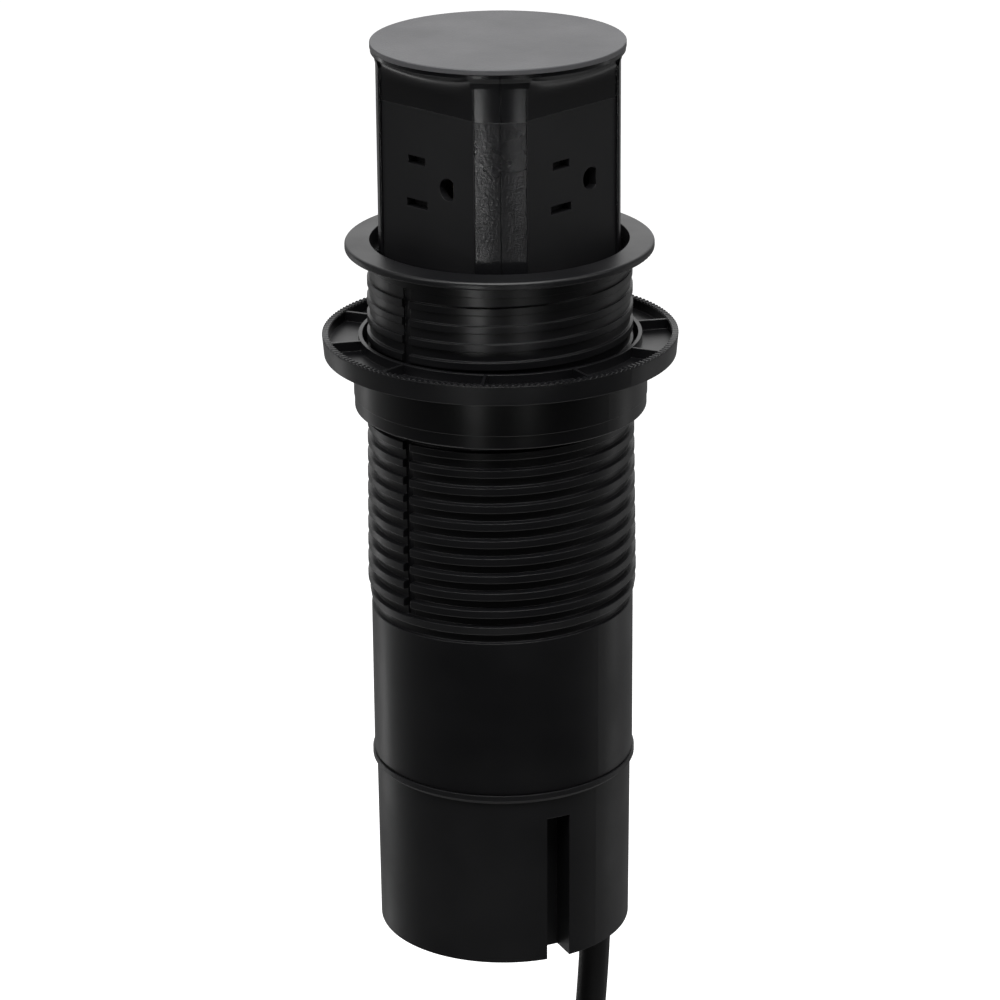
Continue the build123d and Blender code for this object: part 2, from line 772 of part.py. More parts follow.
def carriage():
    """The guided foot that the shells stand on."""
    body = ring(CARRIAGE_R, CARRIAGE_HOLE_R, CARRIAGE_ROOF, CARRIAGE_TOP)
    body += ring(CARRIAGE_R, CARRIAGE_WALL_R, SEAT_TOP, CARRIAGE_TOP)
    body -= foot_cuts()
    pinion_room = (RACK_SLOT_Y[0], PINION_SLOT_TOP_Y)
    body -= block((-CARRIAGE_R, RACK_SLOT_INNER), pinion_room, (SEAT_TOP, CARRIAGE_ROOF))
    for place in turret_screw_places():
        body -= disc(TURRET_SCREW_R + SNUG, CARRIAGE_ROOF, CARRIAGE_TOP, place)
    return body


def spring_seat():
    """The plate that closes the carriage from below and takes the lift spring."""
    body = disc(CARRIAGE_R, SEAT_BOTTOM, SEAT_TOP)
    body -= foot_cuts()
    body -= disc(LEAD_R, SEAT_BOTTOM, SEAT_TOP, lead_head())
    body -= disc(CAM_PEG_R, SEAT_BOTTOM, SEAT_TOP)
    return body


def latch_cam():
    """The bar with the heart-shaped groove that the follower's pin runs round."""
    face = CAM_HALF_THICK
    floor = face - GROOVE_DEPTH
    body = block(both(CAM_HALF_THICK), both(CAM_HALF_WIDTH), (CAM_BOTTOM, SEAT_BOTTOM))
    body -= block((floor, face), both(GROOVE_HALF), (CAM_BOTTOM, GROOVE_TOP))
    heart = Polyline(
        (0, HEART_NOTCH),
        (HEART_HALF, HEART_NOTCH + HEART_HORN),
        (HEART_HALF, HEART_WAIST),
        (HEART_POINT_HALF, HEART_POINT),
        (-HEART_POINT_HALF, HEART_POINT),
        (-HEART_HALF, HEART_WAIST),
        (-HEART_HALF, HEART_NOTCH + HEART_HORN),
        close=True,
    )
    island = extrude(Plane.YZ * make_face(heart), GROOVE_DEPTH)
    body += Pos(floor, 0, 0) * island
    body += disc(CAM_PEG_R, SEAT_BOTTOM, SEAT_TOP)
    return body


def turret_screws():
    """Screws up through the carriage's roof into the shells' bosses."""
    return [
        screw(
            place,
            CARRIAGE_ROOF,
            TURRET_SCREW_TIP,
            TURRET_SCREW_R,
            TURRET_SCREW_HEAD_R,
            TURRET_SCREW_HEAD_H,
        )
        for place in turret_screw_places()
    ]


# The turret's shells and cap


def turret_bar(bottom, top):
    """The turret's outer body: a round bar with four flats between rounded columns."""
    body = disc(COLUMN_R, bottom, top)
    flat = block((FACE_PLANE, COLUMN_R + BITE), both(FACE_HALF), (bottom, top))
    for index in range(4):
        body -= facing(index * QUARTER, flat)
    upright = body.edges().filter_by(Axis.Z)
    corners = [edge for edge in upright if Vector(edge.center().X, edge.center().Y).length > COLUMN_R - SNUG]
    return fillet(corners, COLUMN_ROUND)


def hollow_section():
    """Plan outline of the turret's hollow."""
    width = FACE_PLANE - FACE_THICK
    return Rectangle(width + width, width + width) & Circle(COLUMN_R - COLUMN_WALL)


def prism(outline, bottom, top):
    """A plan outline raised between two heights."""
    return Pos(0, 0, bottom) * extrude(outline, top - bottom)


def halves(body):
    """A turret body cut on its diagonal, with the parting line's gap."""
    side = block((SEAM_GAP / 2, BIG), both(BIG), both(BIG))
    right = body & facing(SPLIT_NORMAL_ANGLE, side)
    left = body & facing(SPLIT_NORMAL_ANGLE + FULL / 2, side)
    return left, right


def diagonal_bosses(bottom, top):
    """Round bosses in all four columns."""
    angles = [SPLIT_NORMAL_ANGLE + index * QUARTER for index in range(4)]
    return [disc(BOSS_R, bottom, top, polar(BOSS_PLACE, angle)) for angle in angles]


def screw_column_places():
    """The two columns that the parting line misses."""
    return [polar(BOSS_PLACE, SPLIT_NORMAL_ANGLE), polar(BOSS_PLACE, SPLIT_NORMAL_ANGLE + FULL / 2)]


def shells():
    """The lower shells: a ring, four columns and the screw bosses, in two halves."""
    body = turret_bar(CARRIAGE_TOP, SHELL_TOP)
    body -= prism(hollow_section(), CARRIAGE_TOP, SHELL_TOP)
    window = block((FACE_PLANE - FACE_THICK, COLUMN_R), both(FACE_HALF), (FACE_BOTTOM, SHELL_TOP))
    for index in range(4):
        body -= facing(index * QUARTER, window)
    limit = turret_bar(CARRIAGE_TOP, SHELL_TOP)
    for boss in diagonal_bosses(CARRIAGE_TOP, BOSS_FOOT_TOP) + diagonal_bosses(BOSS_HEAD_BOTTOM, SHELL_TOP):
        body += boss & limit
    for side in (QUARTER, -QUARTER):
        post = disc(BOSS_R, CARRIAGE_TOP, SIDE_BOSS_TOP, polar(SIDE_BOSS_PLACE, side))
        body += post & limit
    for place in turret_screw_places():
        body -= disc(TURRET_SCREW_R + SNUG, CARRIAGE_TOP, TURRET_SCREW_TIP, place)
    for place in screw_column_places():
        body -= disc(SCREW_R + SNUG, CAP_SCREW_TIP, SHELL_TOP, place)
        body -= disc(SCREW_R + SNUG, BOSS_FOOT_TOP - carrier_screw_bite(), BOSS_FOOT_TOP, place)
    return halves(body)


def cove_section(turn):
    """Outline of the cap over one face, where the cove has turned by an angle from upright."""
    out = 1 - math.cos(math.radians(turn))
    height = RIM_BOTTOM - COVE_HEIGHT * (1 - math.sin(math.radians(turn)))
    rim_edge = math.sqrt(RIM_R * RIM_R - FACE_HALF * FACE_HALF)
    edge = FACE_PLANE + (rim_edge - FACE_PLANE) * out
    middle = FACE_PLANE + (RIM_R - FACE_PLANE) * out
    back = FACE_PLANE - FACE_THICK
    left, right = both(FACE_HALF)
    front = ThreePointArc((edge, left), (middle, 0), (edge, right)) if turn else Line((edge, left), (edge, right))
    sides = Polyline((edge, right), (back, right), (back, left), (edge, left))
    return Pos(0, 0, height) * make_face(front + sides)


def cap_body():
    """The cap: the turret's section flaring out to a round rim under the lid."""
    body = turret_bar(SHELL_TOP, LID_BOTTOM) + disc(RIM_R, RIM_BOTTOM, LID_BOTTOM)
    cove = loft([cove_section(QUARTER * index / COVE_STEPS) for index in range(COVE_STEPS + 1)])
    for index in range(4):
        body += facing(index * QUARTER, cove)
    flare = turned(
        [
            (FACE_PLANE, FLARE_BOTTOM),
            (COLUMN_R - SNUG, FLARE_BOTTOM),
            (COLUMN_R + FLARE_BOW, (FLARE_BOTTOM + RIM_BOTTOM) / 2 + FLARE_BOW),
            (RIM_R - SNUG, RIM_BOTTOM),
            (FACE_PLANE, RIM_BOTTOM),
        ]
    )
    corner = block((FACE_HALF, RIM_R), (FACE_HALF, RIM_R), (FLARE_BOTTOM, RIM_BOTTOM))
    for index in range(4):
        body += flare & facing(index * QUARTER, corner)
    return body


def caps():
    """The cap's two halves, hollow, with bosses for the cap screws under the lid."""
    body = cap_body()
    body -= prism(hollow_section(), SHELL_TOP, ROOF_BOTTOM)
    body -= disc(LID_RING_R, ROOF_BOTTOM, LID_BOTTOM)
    limit = turret_bar(SHELL_TOP, ROOF_BOTTOM)
    for boss in diagonal_bosses(SHELL_TOP, ROOF_BOTTOM):
        body += boss & limit
    for place in screw_column_places():
        body -= disc(SCREW_R + SNUG, SHELL_TOP, ROOF_BOTTOM, place)
        body -= disc(SCREW_HEAD_R + SNUG, ROOF_BOTTOM, LID_BOTTOM, place)
    return halves(body)


def cap_screws():
    """Screws under the lid that tie the cap to the shells."""
    return [
        screw(place, ROOF_BOTTOM, CAP_SCREW_TIP, SCREW_R, SCREW_HEAD_R, SCREW_HEAD_H)
        for place in screw_column_places()
    ]


def lid():
    """The round lid with its locating ring."""
    plate = disc(LID_R, LID_BOTTOM, LID_TOP)
    rims = plate.edges().filter_by(GeomType.CIRCLE).sort_by(Axis.Z)
    plate = fillet(rims[-1:], LID_ROUND)
    return plate + ring(LID_RING_R, LID_RING_R - LID_RING_WALL, ROOF_BOTTOM, LID_BOTTOM)


# The outlets


def slot_box(height, size, xs, shift=0.0, extra=0.0):
    """A blade slot through something between two depths."""
    across = (SLOT_S - size[0] / 2 - extra, SLOT_S + size[0] / 2 + extra)
    up = (height + shift - size[1] / 2 - extra, height + shift + size[1] / 2 + extra)
    return block(xs, across, up)


def ground_hole(xs):
    """The earth pin's hole, round towards the slots and flat on the other side."""
    hole = rod_x(GROUND_HOLE_R, xs, GROUND_S, GROUND_Z)
    room = block(
        xs,
        (GROUND_S - GROUND_HOLE_R, GROUND_FLAT_S),
        (GROUND_Z - GROUND_HOLE_R, GROUND_Z + GROUND_HOLE_R),
    )
    return hole & room


def outlet_face():
    """An outlet plate with its holes, and the guide for its shutter on the back."""
    back = FACE_PLANE - FACE_THICK
    body = block((back, FACE_PLANE), both(FACE_HALF - SNUG), (FACE_BOTTOM, SHELL_TOP))
    through = (back, FACE_PLANE)
    body -= slot_box(LINE_Z, LINE_SLOT, through)
    body -= slot_box(NEUTRAL_Z, NEUTRAL_SLOT, through)
    body -= ground_hole(through)
    low_s = SHUTTER_S[0] - CLEAR
    high_s = SHUTTER_S[1] + CLEAR
    outer_s = (low_s - GUIDE_BAR, high_s + GUIDE_BAR)
    body += block((GUIDE_X[0], back), (outer_s[0], low_s), GUIDE_Z)
    body += block((GUIDE_X[0], back), (high_s, outer_s[1]), GUIDE_Z)
    body += block(GUIDE_X, (low_s, low_s + GUIDE_LAP), GUIDE_Z)
    body += block(GUIDE_X, (high_s - GUIDE_LAP, high_s), GUIDE_Z)
    body += block((GUIDE_X[0], back), (low_s, high_s), (GUIDE_Z[0], SPRING_LEDGE))
    body += block((GUIDE_X[0], back), (low_s, high_s), (SHUTTER_Z[1], GUIDE_Z[1]))
    return body


def shutter():
    """The plate that closes both slots until two blades push it down together."""
    body = block(SHUTTER_X, SHUTTER_S, SHUTTER_Z)
    body -= slot_box(LINE_Z, LINE_SLOT, SHUTTER_X, SHUTTER_TRAVEL, WINDOW_EXTRA)
    body -= slot_box(NEUTRAL_Z, NEUTRAL_SLOT, SHUTTER_X, SHUTTER_TRAVEL, WINDOW_EXTRA)
    return body


def shutter_spring():
    """A folded strip between the guide's ledge and the shutter."""
    bottom = SPRING_LEDGE + STRIP_WIDTH / 2
    top = SHUTTER_Z[0] - STRIP_WIDTH / 2
    step = (top - bottom) / STRIP_FOLDS
    outline = None
    for index in range(STRIP_FOLDS + 1):
        height = bottom + step * index
        thick = (height - STRIP_WIDTH / 2, height + STRIP_WIDTH / 2)
        leaf = block(STRIP_X, (STRIP_S - STRIP_HALF, STRIP_S + STRIP_HALF), thick)
        outline = leaf if outline is None else outline + leaf
        if index < STRIP_FOLDS:
            side = STRIP_S + STRIP_HALF if index % 2 else STRIP_S - STRIP_HALF
            inner = side - STRIP_WIDTH if index % 2 else side + STRIP_WIDTH
            outline += block(STRIP_X, (min(side, inner), max(side, inner)), (height, height + step))
    return outline


# Contacts and their insulating stack


def bus_ring(plate_z, ear_angle):
    """The ring of a bus bar with the ear where its core is joined."""
    body = ring(BUS_R, HUB_R + SNUG, plate_z, plate_z + BUS_THICK)
    ear = block((HUB_R + BITE, EAR_OUT), both(BUS_EAR_HALF), (plate_z, plate_z + BUS_THICK))
    return body + facing(ear_angle, ear)


def blade_fork():
    """A fork of two leaves for a flat blade, at height zero."""
    low = (-BLADE_HALF - BUS_THICK, -BLADE_HALF)
    high = (BLADE_HALF, BLADE_HALF + BUS_THICK)
    across = (SLOT_S - FORK_HALF, SLOT_S + FORK_HALF)
    body = block(FORK_X, across, low)
    body += block(FORK_X, across, high)
    body += block((FORK_X[0], FORK_X[0] + BUS_THICK), across, (low[0], high[1]))
    body += block((HUB_R + BITE, FORK_X[0] + BUS_THICK), across, low)
    return body


def blade_bus(height, ear_angle):
    """A bus bar with a blade fork behind each face."""
    body = bus_ring(height - BLADE_HALF - BUS_THICK, ear_angle)
    for index in range(4):
        body += facing(index * QUARTER, Pos(0, 0, height) * blade_fork())
    return body - disc(HUB_R + SNUG, SEAT_BOTTOM, SHELL_TOP)


def ground_bus(ear_angle):
    """The earth bus bar with a pair of upright leaves behind each earth hole."""
    body = bus_ring(GROUND_PLATE_Z, ear_angle)
    left, right = GROUND_LEAF_S
    arm = block(
        (HUB_R, FORK_X[0] + BUS_THICK),
        (left, (left + right) / 2),
        (GROUND_PLATE_Z, GROUND_PLATE_Z + BUS_THICK),
    )
    arm += block((FORK_X[0], FORK_X[0] + BUS_THICK), (left, right + BUS_THICK), GROUND_LEAF_Z)
    arm += block(FORK_X, (left - BUS_THICK, left), GROUND_LEAF_Z)
    arm += block((FORK_X[0], FORK_X[0] + BUS_THICK), (left - BUS_THICK, left), GROUND_LEAF_Z)
    arm += block(FORK_X, (right, right + BUS_THICK), GROUND_LEAF_Z)
    for index in range(4):
        body += facing(index * QUARTER, arm)
    return body - disc(HUB_R + SNUG, SEAT_BOTTOM, SHELL_TOP)


def bus_floor(height):
    """Underside of a blade bus bar's ring."""
    return height - BLADE_HALF - BUS_THICK


def carrier_screw_bite():
    """How far a carrier screw goes into its boss."""
    return SCREW_LENGTH - (SPIDER_TOP - BOSS_FOOT_TOP)


def carrier_base():
    """The insulating hub on its four-armed spider, up to the lowest bus bar."""
    body = disc(COLLAR_R, BOSS_FOOT_TOP, bus_floor(NEUTRAL_Z))
    body += disc(HUB_R, BOSS_FOOT_TOP, HUB_TOP)
    for index in range(4):
        angle = SPLIT_NORMAL_ANGLE + index * QUARTER
        arm = facing(angle, block((0, SPIDER_OUT), both(SPIDER_ARM_HALF), (BOSS_FOOT_TOP, SPIDER_TOP)))
        body += arm
    for index in range(3):
        angle = SPLIT_NORMAL_ANGLE + index * QUARTER
        body -= disc(CORE_HOLE_R, BOSS_FOOT_TOP, SPIDER_TOP, polar(EAR_PLACE, angle))
    for place in screw_column_places():
        body -= disc(SCREW_R + SNUG, BOSS_FOOT_TOP, SPIDER_TOP, place)
    body -= disc(HUB_BORE_R, BOSS_FOOT_TOP, HUB_TOP)
    return body


def carrier_screws():
    """Two screws that hold the spider down on the full columns' bosses."""
    return [
        screw(place, SPIDER_TOP, SPIDER_TOP - SCREW_LENGTH, SCREW_R, SCREW_HEAD_R, SCREW_HEAD_H)
        for place in screw_column_places()
    ]


def spacers():
    """The insulating rings above each bus bar, and the top ring that clamps the stack."""
    over_neutral = bus_floor(NEUTRAL_Z) + BUS_THICK
    over_ground = GROUND_PLATE_Z + BUS_THICK
    over_line = bus_floor(LINE_Z) + BUS_THICK
    bore = HUB_R + SNUG
    return (
        ring(COLLAR_R, bore, over_neutral, GROUND_PLATE_Z),
        ring(COLLAR_R, bore, over_ground, bus_floor(LINE_Z)),
        ring(COLLAR_R, bore, over_line, TOP_RING_Z),
    )


# Wiring


def trio(centre, radius, first):
    """Plan places of three cores round the middle of a sheath."""
    return [
        (centre[0] + radius * math.cos(math.radians(first + index * FULL / 3)),
         centre[1] + radius * math.sin(math.radians(first + index * FULL / 3)))
        for index in range(3)
    ]


def turret_cores():
    """Three cores from the lead's end up to the bus bars' ears."""
    starts = trio(lead_head(), CORE_IN_LEAD, SPLIT_NORMAL_ANGLE)
    tops = (bus_floor(NEUTRAL_Z), GROUND_PLATE_Z, bus_floor(LINE_Z))
    heights = (BOSS_FOOT_TOP - CORE_BEND - CORE_BEND, BOSS_FOOT_TOP - CORE_BEND, BOSS_FOOT_TOP - CORE_BEND)
    cores = []
    for index in range(3):
        ear = polar(EAR_PLACE, SPLIT_NORMAL_ANGLE + index * QUARTER)
        turn = heights[index]
        points = [
            (*starts[index], TURRET_LEAD_TOP),
            (*starts[index], turn - CORE_BEND * (2 - index)),
            (*ear, turn),
            (*ear, tops[index]),
        ]
        cores.append(tube(points, CORE_R, bend=CORE_BEND))
    return cores


def terminal_cores():
    """Cores from the mains cord and from the lead's foot to the terminal block."""
    cores = []
    cord = trio((GLAND_X, GLAND_Y), CORE_IN_CORD, CORD_TRIO_ANGLE)
    lead = trio(lead_foot(), CORE_IN_LEAD, LEAD_TRIO_ANGLE)
    order = (0, 2, 1)
    for index in range(3):
        pole = (index - 1) * BLOCK_POLE
        start = cord[order[index]]
        turn = CORD_CORE_TURN_Z[index]
        points = [
            (*start, CORD_TOP_Z),
            (*start, turn),
            (CORD_CORE_DROP_X, pole, turn),
            (CORD_CORE_DROP_X, pole, BLOCK_WIRE_Z),
            (BLOCK_X[1], pole, BLOCK_WIRE_Z),
        ]
        cores.append(tube(points, CORE_R, bend=CORE_BEND))
        start = lead[index]
        turn = LEAD_CORE_TURN_Z[index]
        points = [
            (*start, BASE_LEAD_BOTTOM),
            (*start, turn),
            (LEAD_CORE_DROP_X, pole, turn),
            (LEAD_CORE_DROP_X, pole, BLOCK_WIRE_Z),
            (BLOCK_X[0], pole, BLOCK_WIRE_Z),
        ]
        cores.append(tube(points, CORE_R, bend=CORE_BEND))
    return cores


def terminal_block():
    """The three-pole block on the cover."""
    body = block(BLOCK_X, both(BLOCK_HALF_Y), (COVER_TOP, BLOCK_TOP))
    for place in terminal_places():
        body -= disc(TERMINAL_SCREW_R, BLOCK_TOP - TERMINAL_SCREW_DEPTH, BLOCK_TOP, place)
    return body


def terminal_places():
    """The six terminal screws, two to a pole."""
    inset = BLOCK_POLE
    return [
        (x, pole * BLOCK_POLE)
        for x in (BLOCK_X[0] + inset, BLOCK_X[1] - inset)
        for pole in (-1, 0, 1)
    ]


def terminal_screws():
    """The clamp screws of the terminal block."""
    bottom = BLOCK_TOP - TERMINAL_SCREW_DEPTH
    return [disc(TERMINAL_SCREW_R, bottom, BLOCK_TOP, place) for place in terminal_places()]


def cable_gland():
    """The rubber strain relief: barb, neck and tapered boot round the cord."""
    floor = COVER_TOP - COVER_THICK
    boot = turned(
        [
            (CORD_R, GLAND_BARB_TOP),
            (GLAND_BARB_R, GLAND_BARB_TOP),
            (GLAND_BARB_R, COVER_TOP),
            (GLAND_NECK_R, COVER_TOP),
            (GLAND_NECK_R, floor),
            (GLAND_BOOT_R, floor),
            (GLAND_BOOT_TIP_R, GLAND_BOOT_END),
            (CORD_R, GLAND_BOOT_END),
        ]
    )
    return Pos(GLAND_X, GLAND_Y, 0) * boot


def mains_cord():
    """The cord from inside the cup, through the gland, down to the hank."""
    points = [
        (GLAND_X, GLAND_Y, CORD_TOP_Z),
        (GLAND_X, GLAND_Y, CORD_BEND_Z),
        CORD_END,
    ]
    return tube(points, CORD_R, "mains_cord")


# Clamp disc and nut


def clamp_disc():
    """The ribbed disc that is drawn up under the desk top."""
    body = turned(
        [
            (DISC_BORE_R, DISC_TOP),
            (DISC_HUB_R, DISC_TOP),
            (DISC_HUB_R, DISC_FLOOR),
            (DISC_TOP_R - DISC_RIM, DISC_FLOOR),
            (DISC_TOP_R - DISC_RIM, DISC_TOP),
            (DISC_TOP_R, DISC_TOP),
            (DISC_TOP_R - DISC_DRAFT, DISC_BOTTOM),
            (DISC_BORE_R, DISC_BOTTOM),
        ]
    )
    rib = block(
        (DISC_HUB_R - BITE, DISC_TOP_R - DISC_RIM + BITE),
        both(DISC_RIB_HALF),
        (DISC_FLOOR - BITE, DISC_TOP),
    )
    for index in range(DISC_RIBS):
        body += facing(DISC_RIB_FIRST + index * FULL / DISC_RIBS, rib)
    return body


def clamp_nut():
    """The round nut with a coarse thread inside, which runs on the sleeve's thread."""
    body = turned(
        [
            (NUT_BORE_R, DISC_BOTTOM),
            (NUT_R, DISC_BOTTOM),
            (NUT_R, NUT_STEP_Z),
            (NUT_STEP_R, NUT_STEP_Z),
            (NUT_STEP_R, NUT_BOTTOM),
            (NUT_BORE_R, NUT_BOTTOM),
        ]
    )
    rims = body.edges().filter_by(GeomType.CIRCLE).sort_by(Axis.Z)
    outer = [edge for edge in rims if abs(edge.radius - NUT_STEP_R) < SNUG]
    body = fillet(outer[:1], NUT_ROUND)
    outline = [
        (0, -NUT_CREST_TIP_WIDTH / 2),
        (NUT_BORE_R + NUT_CREST_BITE - NUT_CREST_R, -NUT_CREST_BASE_WIDTH / 2),
        (NUT_BORE_R + NUT_CREST_BITE - NUT_CREST_R, NUT_CREST_BASE_WIDTH / 2),
        (0, NUT_CREST_TIP_WIDTH / 2),
    ]
    ridge = helical_ridge(outline, NUT_CREST_R, NUT_CREST_TOP, NUT_TURNS)
    return body + Pos(0, 0, -PITCH / 2) * ridge


# Hank, tie and plug


def hank_side(run):
    """Which side of the hank a run is on, by its number from 0."""
    return 1 if run % 2 == 0 else -1


def hank_depth(turn):
    """Depth of the plane of a fold, by its number; 0 is where the cord comes in."""
    return HANK_FIRST_Y - HANK_STEP * turn


def fold_arc(turn):
    """Points of one fold: where the cord meets its round end, the far point, and where it leaves."""
    lower = turn % 2 == 1
    centre = HANK_BOTTOM_CENTRE if lower else HANK_TOP_CENTRE
    sense = -1 if lower else 1
    reach = (HANK_TOP_CENTRE - HANK_BOTTOM_CENTRE) / 2 - WAIST_HALF_Z
    far = math.hypot(WAIST_HALF_X, reach)
    lean = math.asin(HANK_FOLD_R / far) - math.atan(WAIST_HALF_X / reach)
    x = HANK_FOLD_R * math.cos(lean)
    z = centre - sense * HANK_FOLD_R * math.sin(lean)
    y = hank_depth(turn)
    side = hank_side(turn - 1)
    return (side * x, y, z), (0, y, centre + sense * HANK_FOLD_R), (-side * x, y, z)


def hank_path():
    """The centre line of the hank: waisted runs, each climbing one step, and round folds."""
    middle = (HANK_TOP_CENTRE + HANK_BOTTOM_CENTRE) / 2
    lead = Vector(*CORD_END) - Vector(GLAND_X, GLAND_Y, CORD_BEND_Z)
    start = Vector(*CORD_END)
    first = start + lead.normalized() * HANK_LEAD_IN
    pieces = []
    radii = []
    for run in range(HANK_RUNS):
        down = 1 if run % 2 == 0 else -1
        x = hank_side(run) * WAIST_HALF_X
        knee_in = Vector(x, hank_depth(run), middle + down * WAIST_HALF_Z)
        knee_out = Vector(x, hank_depth(run + 1), middle - down * WAIST_HALF_Z)
        if run == 0:
            corners = [start, first, knee_in, knee_out, Vector(*fold_arc(1)[0])]
        elif run == HANK_RUNS - 1:
            corners = [Vector(*fold_arc(run)[2]), knee_in, knee_out]
            corners.append(Vector(x, TAIL_OUT_Y, TAIL_KNEE_Z))
            corners.append(Vector(x, TAIL_OUT_Y, TAIL_END_Z))
        else:
            corners = [Vector(*fold_arc(run)[2]), knee_in, knee_out, Vector(*fold_arc(run + 1)[0])]
        lengths = [(b - a).length for a, b in zip(corners, corners[1:])]
        bends = []
        for index in range(1, len(corners) - 1):
            turn = (corners[index] - corners[index - 1]).get_angle(corners[index + 1] - corners[index])
            shorter = min(lengths[index - 1], lengths[index])
            bends.append(ARC_SHARE * shorter / math.tan(math.radians(turn) / 2))
        radii += bends
        pieces += FilletPolyline(*corners, radius=bends).edges()
        if run < HANK_RUNS - 1:
            pieces.append(ThreePointArc(*fold_arc(run + 1)).edge())
    print("cord_hank arc radii", [round(value, 1) for value in radii], "folds", HANK_FOLD_R)
    return Wire(pieces)


def hank_gap(path):
    """Least gap between the hank's turns, from points a cord's radius apart on its line."""
    count = int(path.length / CORD_R)
    points = [path @ (index / count) for index in range(count + 1)]
    least = min(
        (points[a] - points[b]).length
        for a in range(len(points))
        for b in range(a + NEIGHBOUR_POINTS, len(points))
    )
    return least - CORD_R - CORD_R


def cord_hank():
    """The put-away length of the cord, as one unbroken tube."""
    path = hank_path()
    start = Plane(origin=path @ 0, z_dir=path % 0)
    body = sweep(start * Circle(CORD_R), path=path)
    print("cord_hank length", round(path.length, 1), "least gap to itself", round(hank_gap(path), 2))
    print("cord_hank volume over section times length", filled_share(body, CORD_R, path))
    return body


def hank_tie():
    """The strap round the hank's waist."""
    middle = (HANK_TOP_CENTRE + HANK_BOTTOM_CENTRE) / 2
    first = (hank_depth(0) + hank_depth(1)) / 2
    last = (hank_depth(HANK_RUNS - 1) + hank_depth(HANK_RUNS)) / 2
    width = (WAIST_HALF_X + CORD_R + CLEAR) * 2
    drift = HANK_STEP * TIE_HALF_Z / WAIST_HALF_Z
    depth = first - last + (CORD_R + CLEAR) * 2 + drift
    inner = RectangleRounded(width, depth, TIE_CORNER)
    outer = RectangleRounded(width + TIE_THICK * 2, depth + TIE_THICK * 2, TIE_CORNER + TIE_THICK)
    strap = extrude(outer - inner, TIE_HALF_Z * 2)
    return Pos(0, (first + last) / 2, middle - TIE_HALF_Z) * strap


def plug_place():
    """Where the cord ends in the plug's boot."""
    return Pos(hank_side(HANK_RUNS - 1) * WAIST_HALF_X, TAIL_OUT_Y, TAIL_END_Z)


def plug_body():
    """The moulded plug with its boot."""
    boot = turned([(0, 0), (PLUG_BOOT_TOP_R, 0), (PLUG_BOOT_R, -PLUG_BOOT), (0, -PLUG_BOOT)])
    shape = RectangleRounded(PLUG_HALF_X * 2, PLUG_HALF_Y * 2, PLUG_ROUND)
    body = Pos(0, 0, -PLUG_BOOT - PLUG_BODY) * extrude(shape, PLUG_BODY)
    return plug_place() * (boot + body)


def plug_blades():
    """The two flat blades."""
    face = -PLUG_BOOT - PLUG_BODY
    blades = []
    for side in (-1, 1):
        middle = side * PLUG_BLADE_APART
        blades.append(
            plug_place()
            * block(
                (middle - PLUG_BLADE_THICK / 2, middle + PLUG_BLADE_THICK / 2),
                (PLUG_BLADE_Y - PLUG_BLADE_WIDTH / 2, PLUG_BLADE_Y + PLUG_BLADE_WIDTH / 2),
                (face - PLUG_BLADE_LENGTH, face),
            )
        )
    return blades


def plug_ground_pin():
    """The earth pin with its rounded end."""
    face = -PLUG_BOOT - PLUG_BODY
    tip = face - PLUG_GROUND_LENGTH + PLUG_GROUND_R
    pin = disc(PLUG_GROUND_R, tip, face, (0, PLUG_GROUND_Y))
    pin += Pos(0, PLUG_GROUND_Y, tip) * Sphere(PLUG_GROUND_R)
    return plug_place() * pin


def write(name, shape):
    """Writes one node, one solid or a group of them."""
    solids = shape if isinstance(shape, (list, tuple)) else [shape]
    body = solids[0] if len(solids) == 1 else Compound(children=list(solids))
    body.label = name
    export_step(body, os.path.join("parts", name + ".step"))


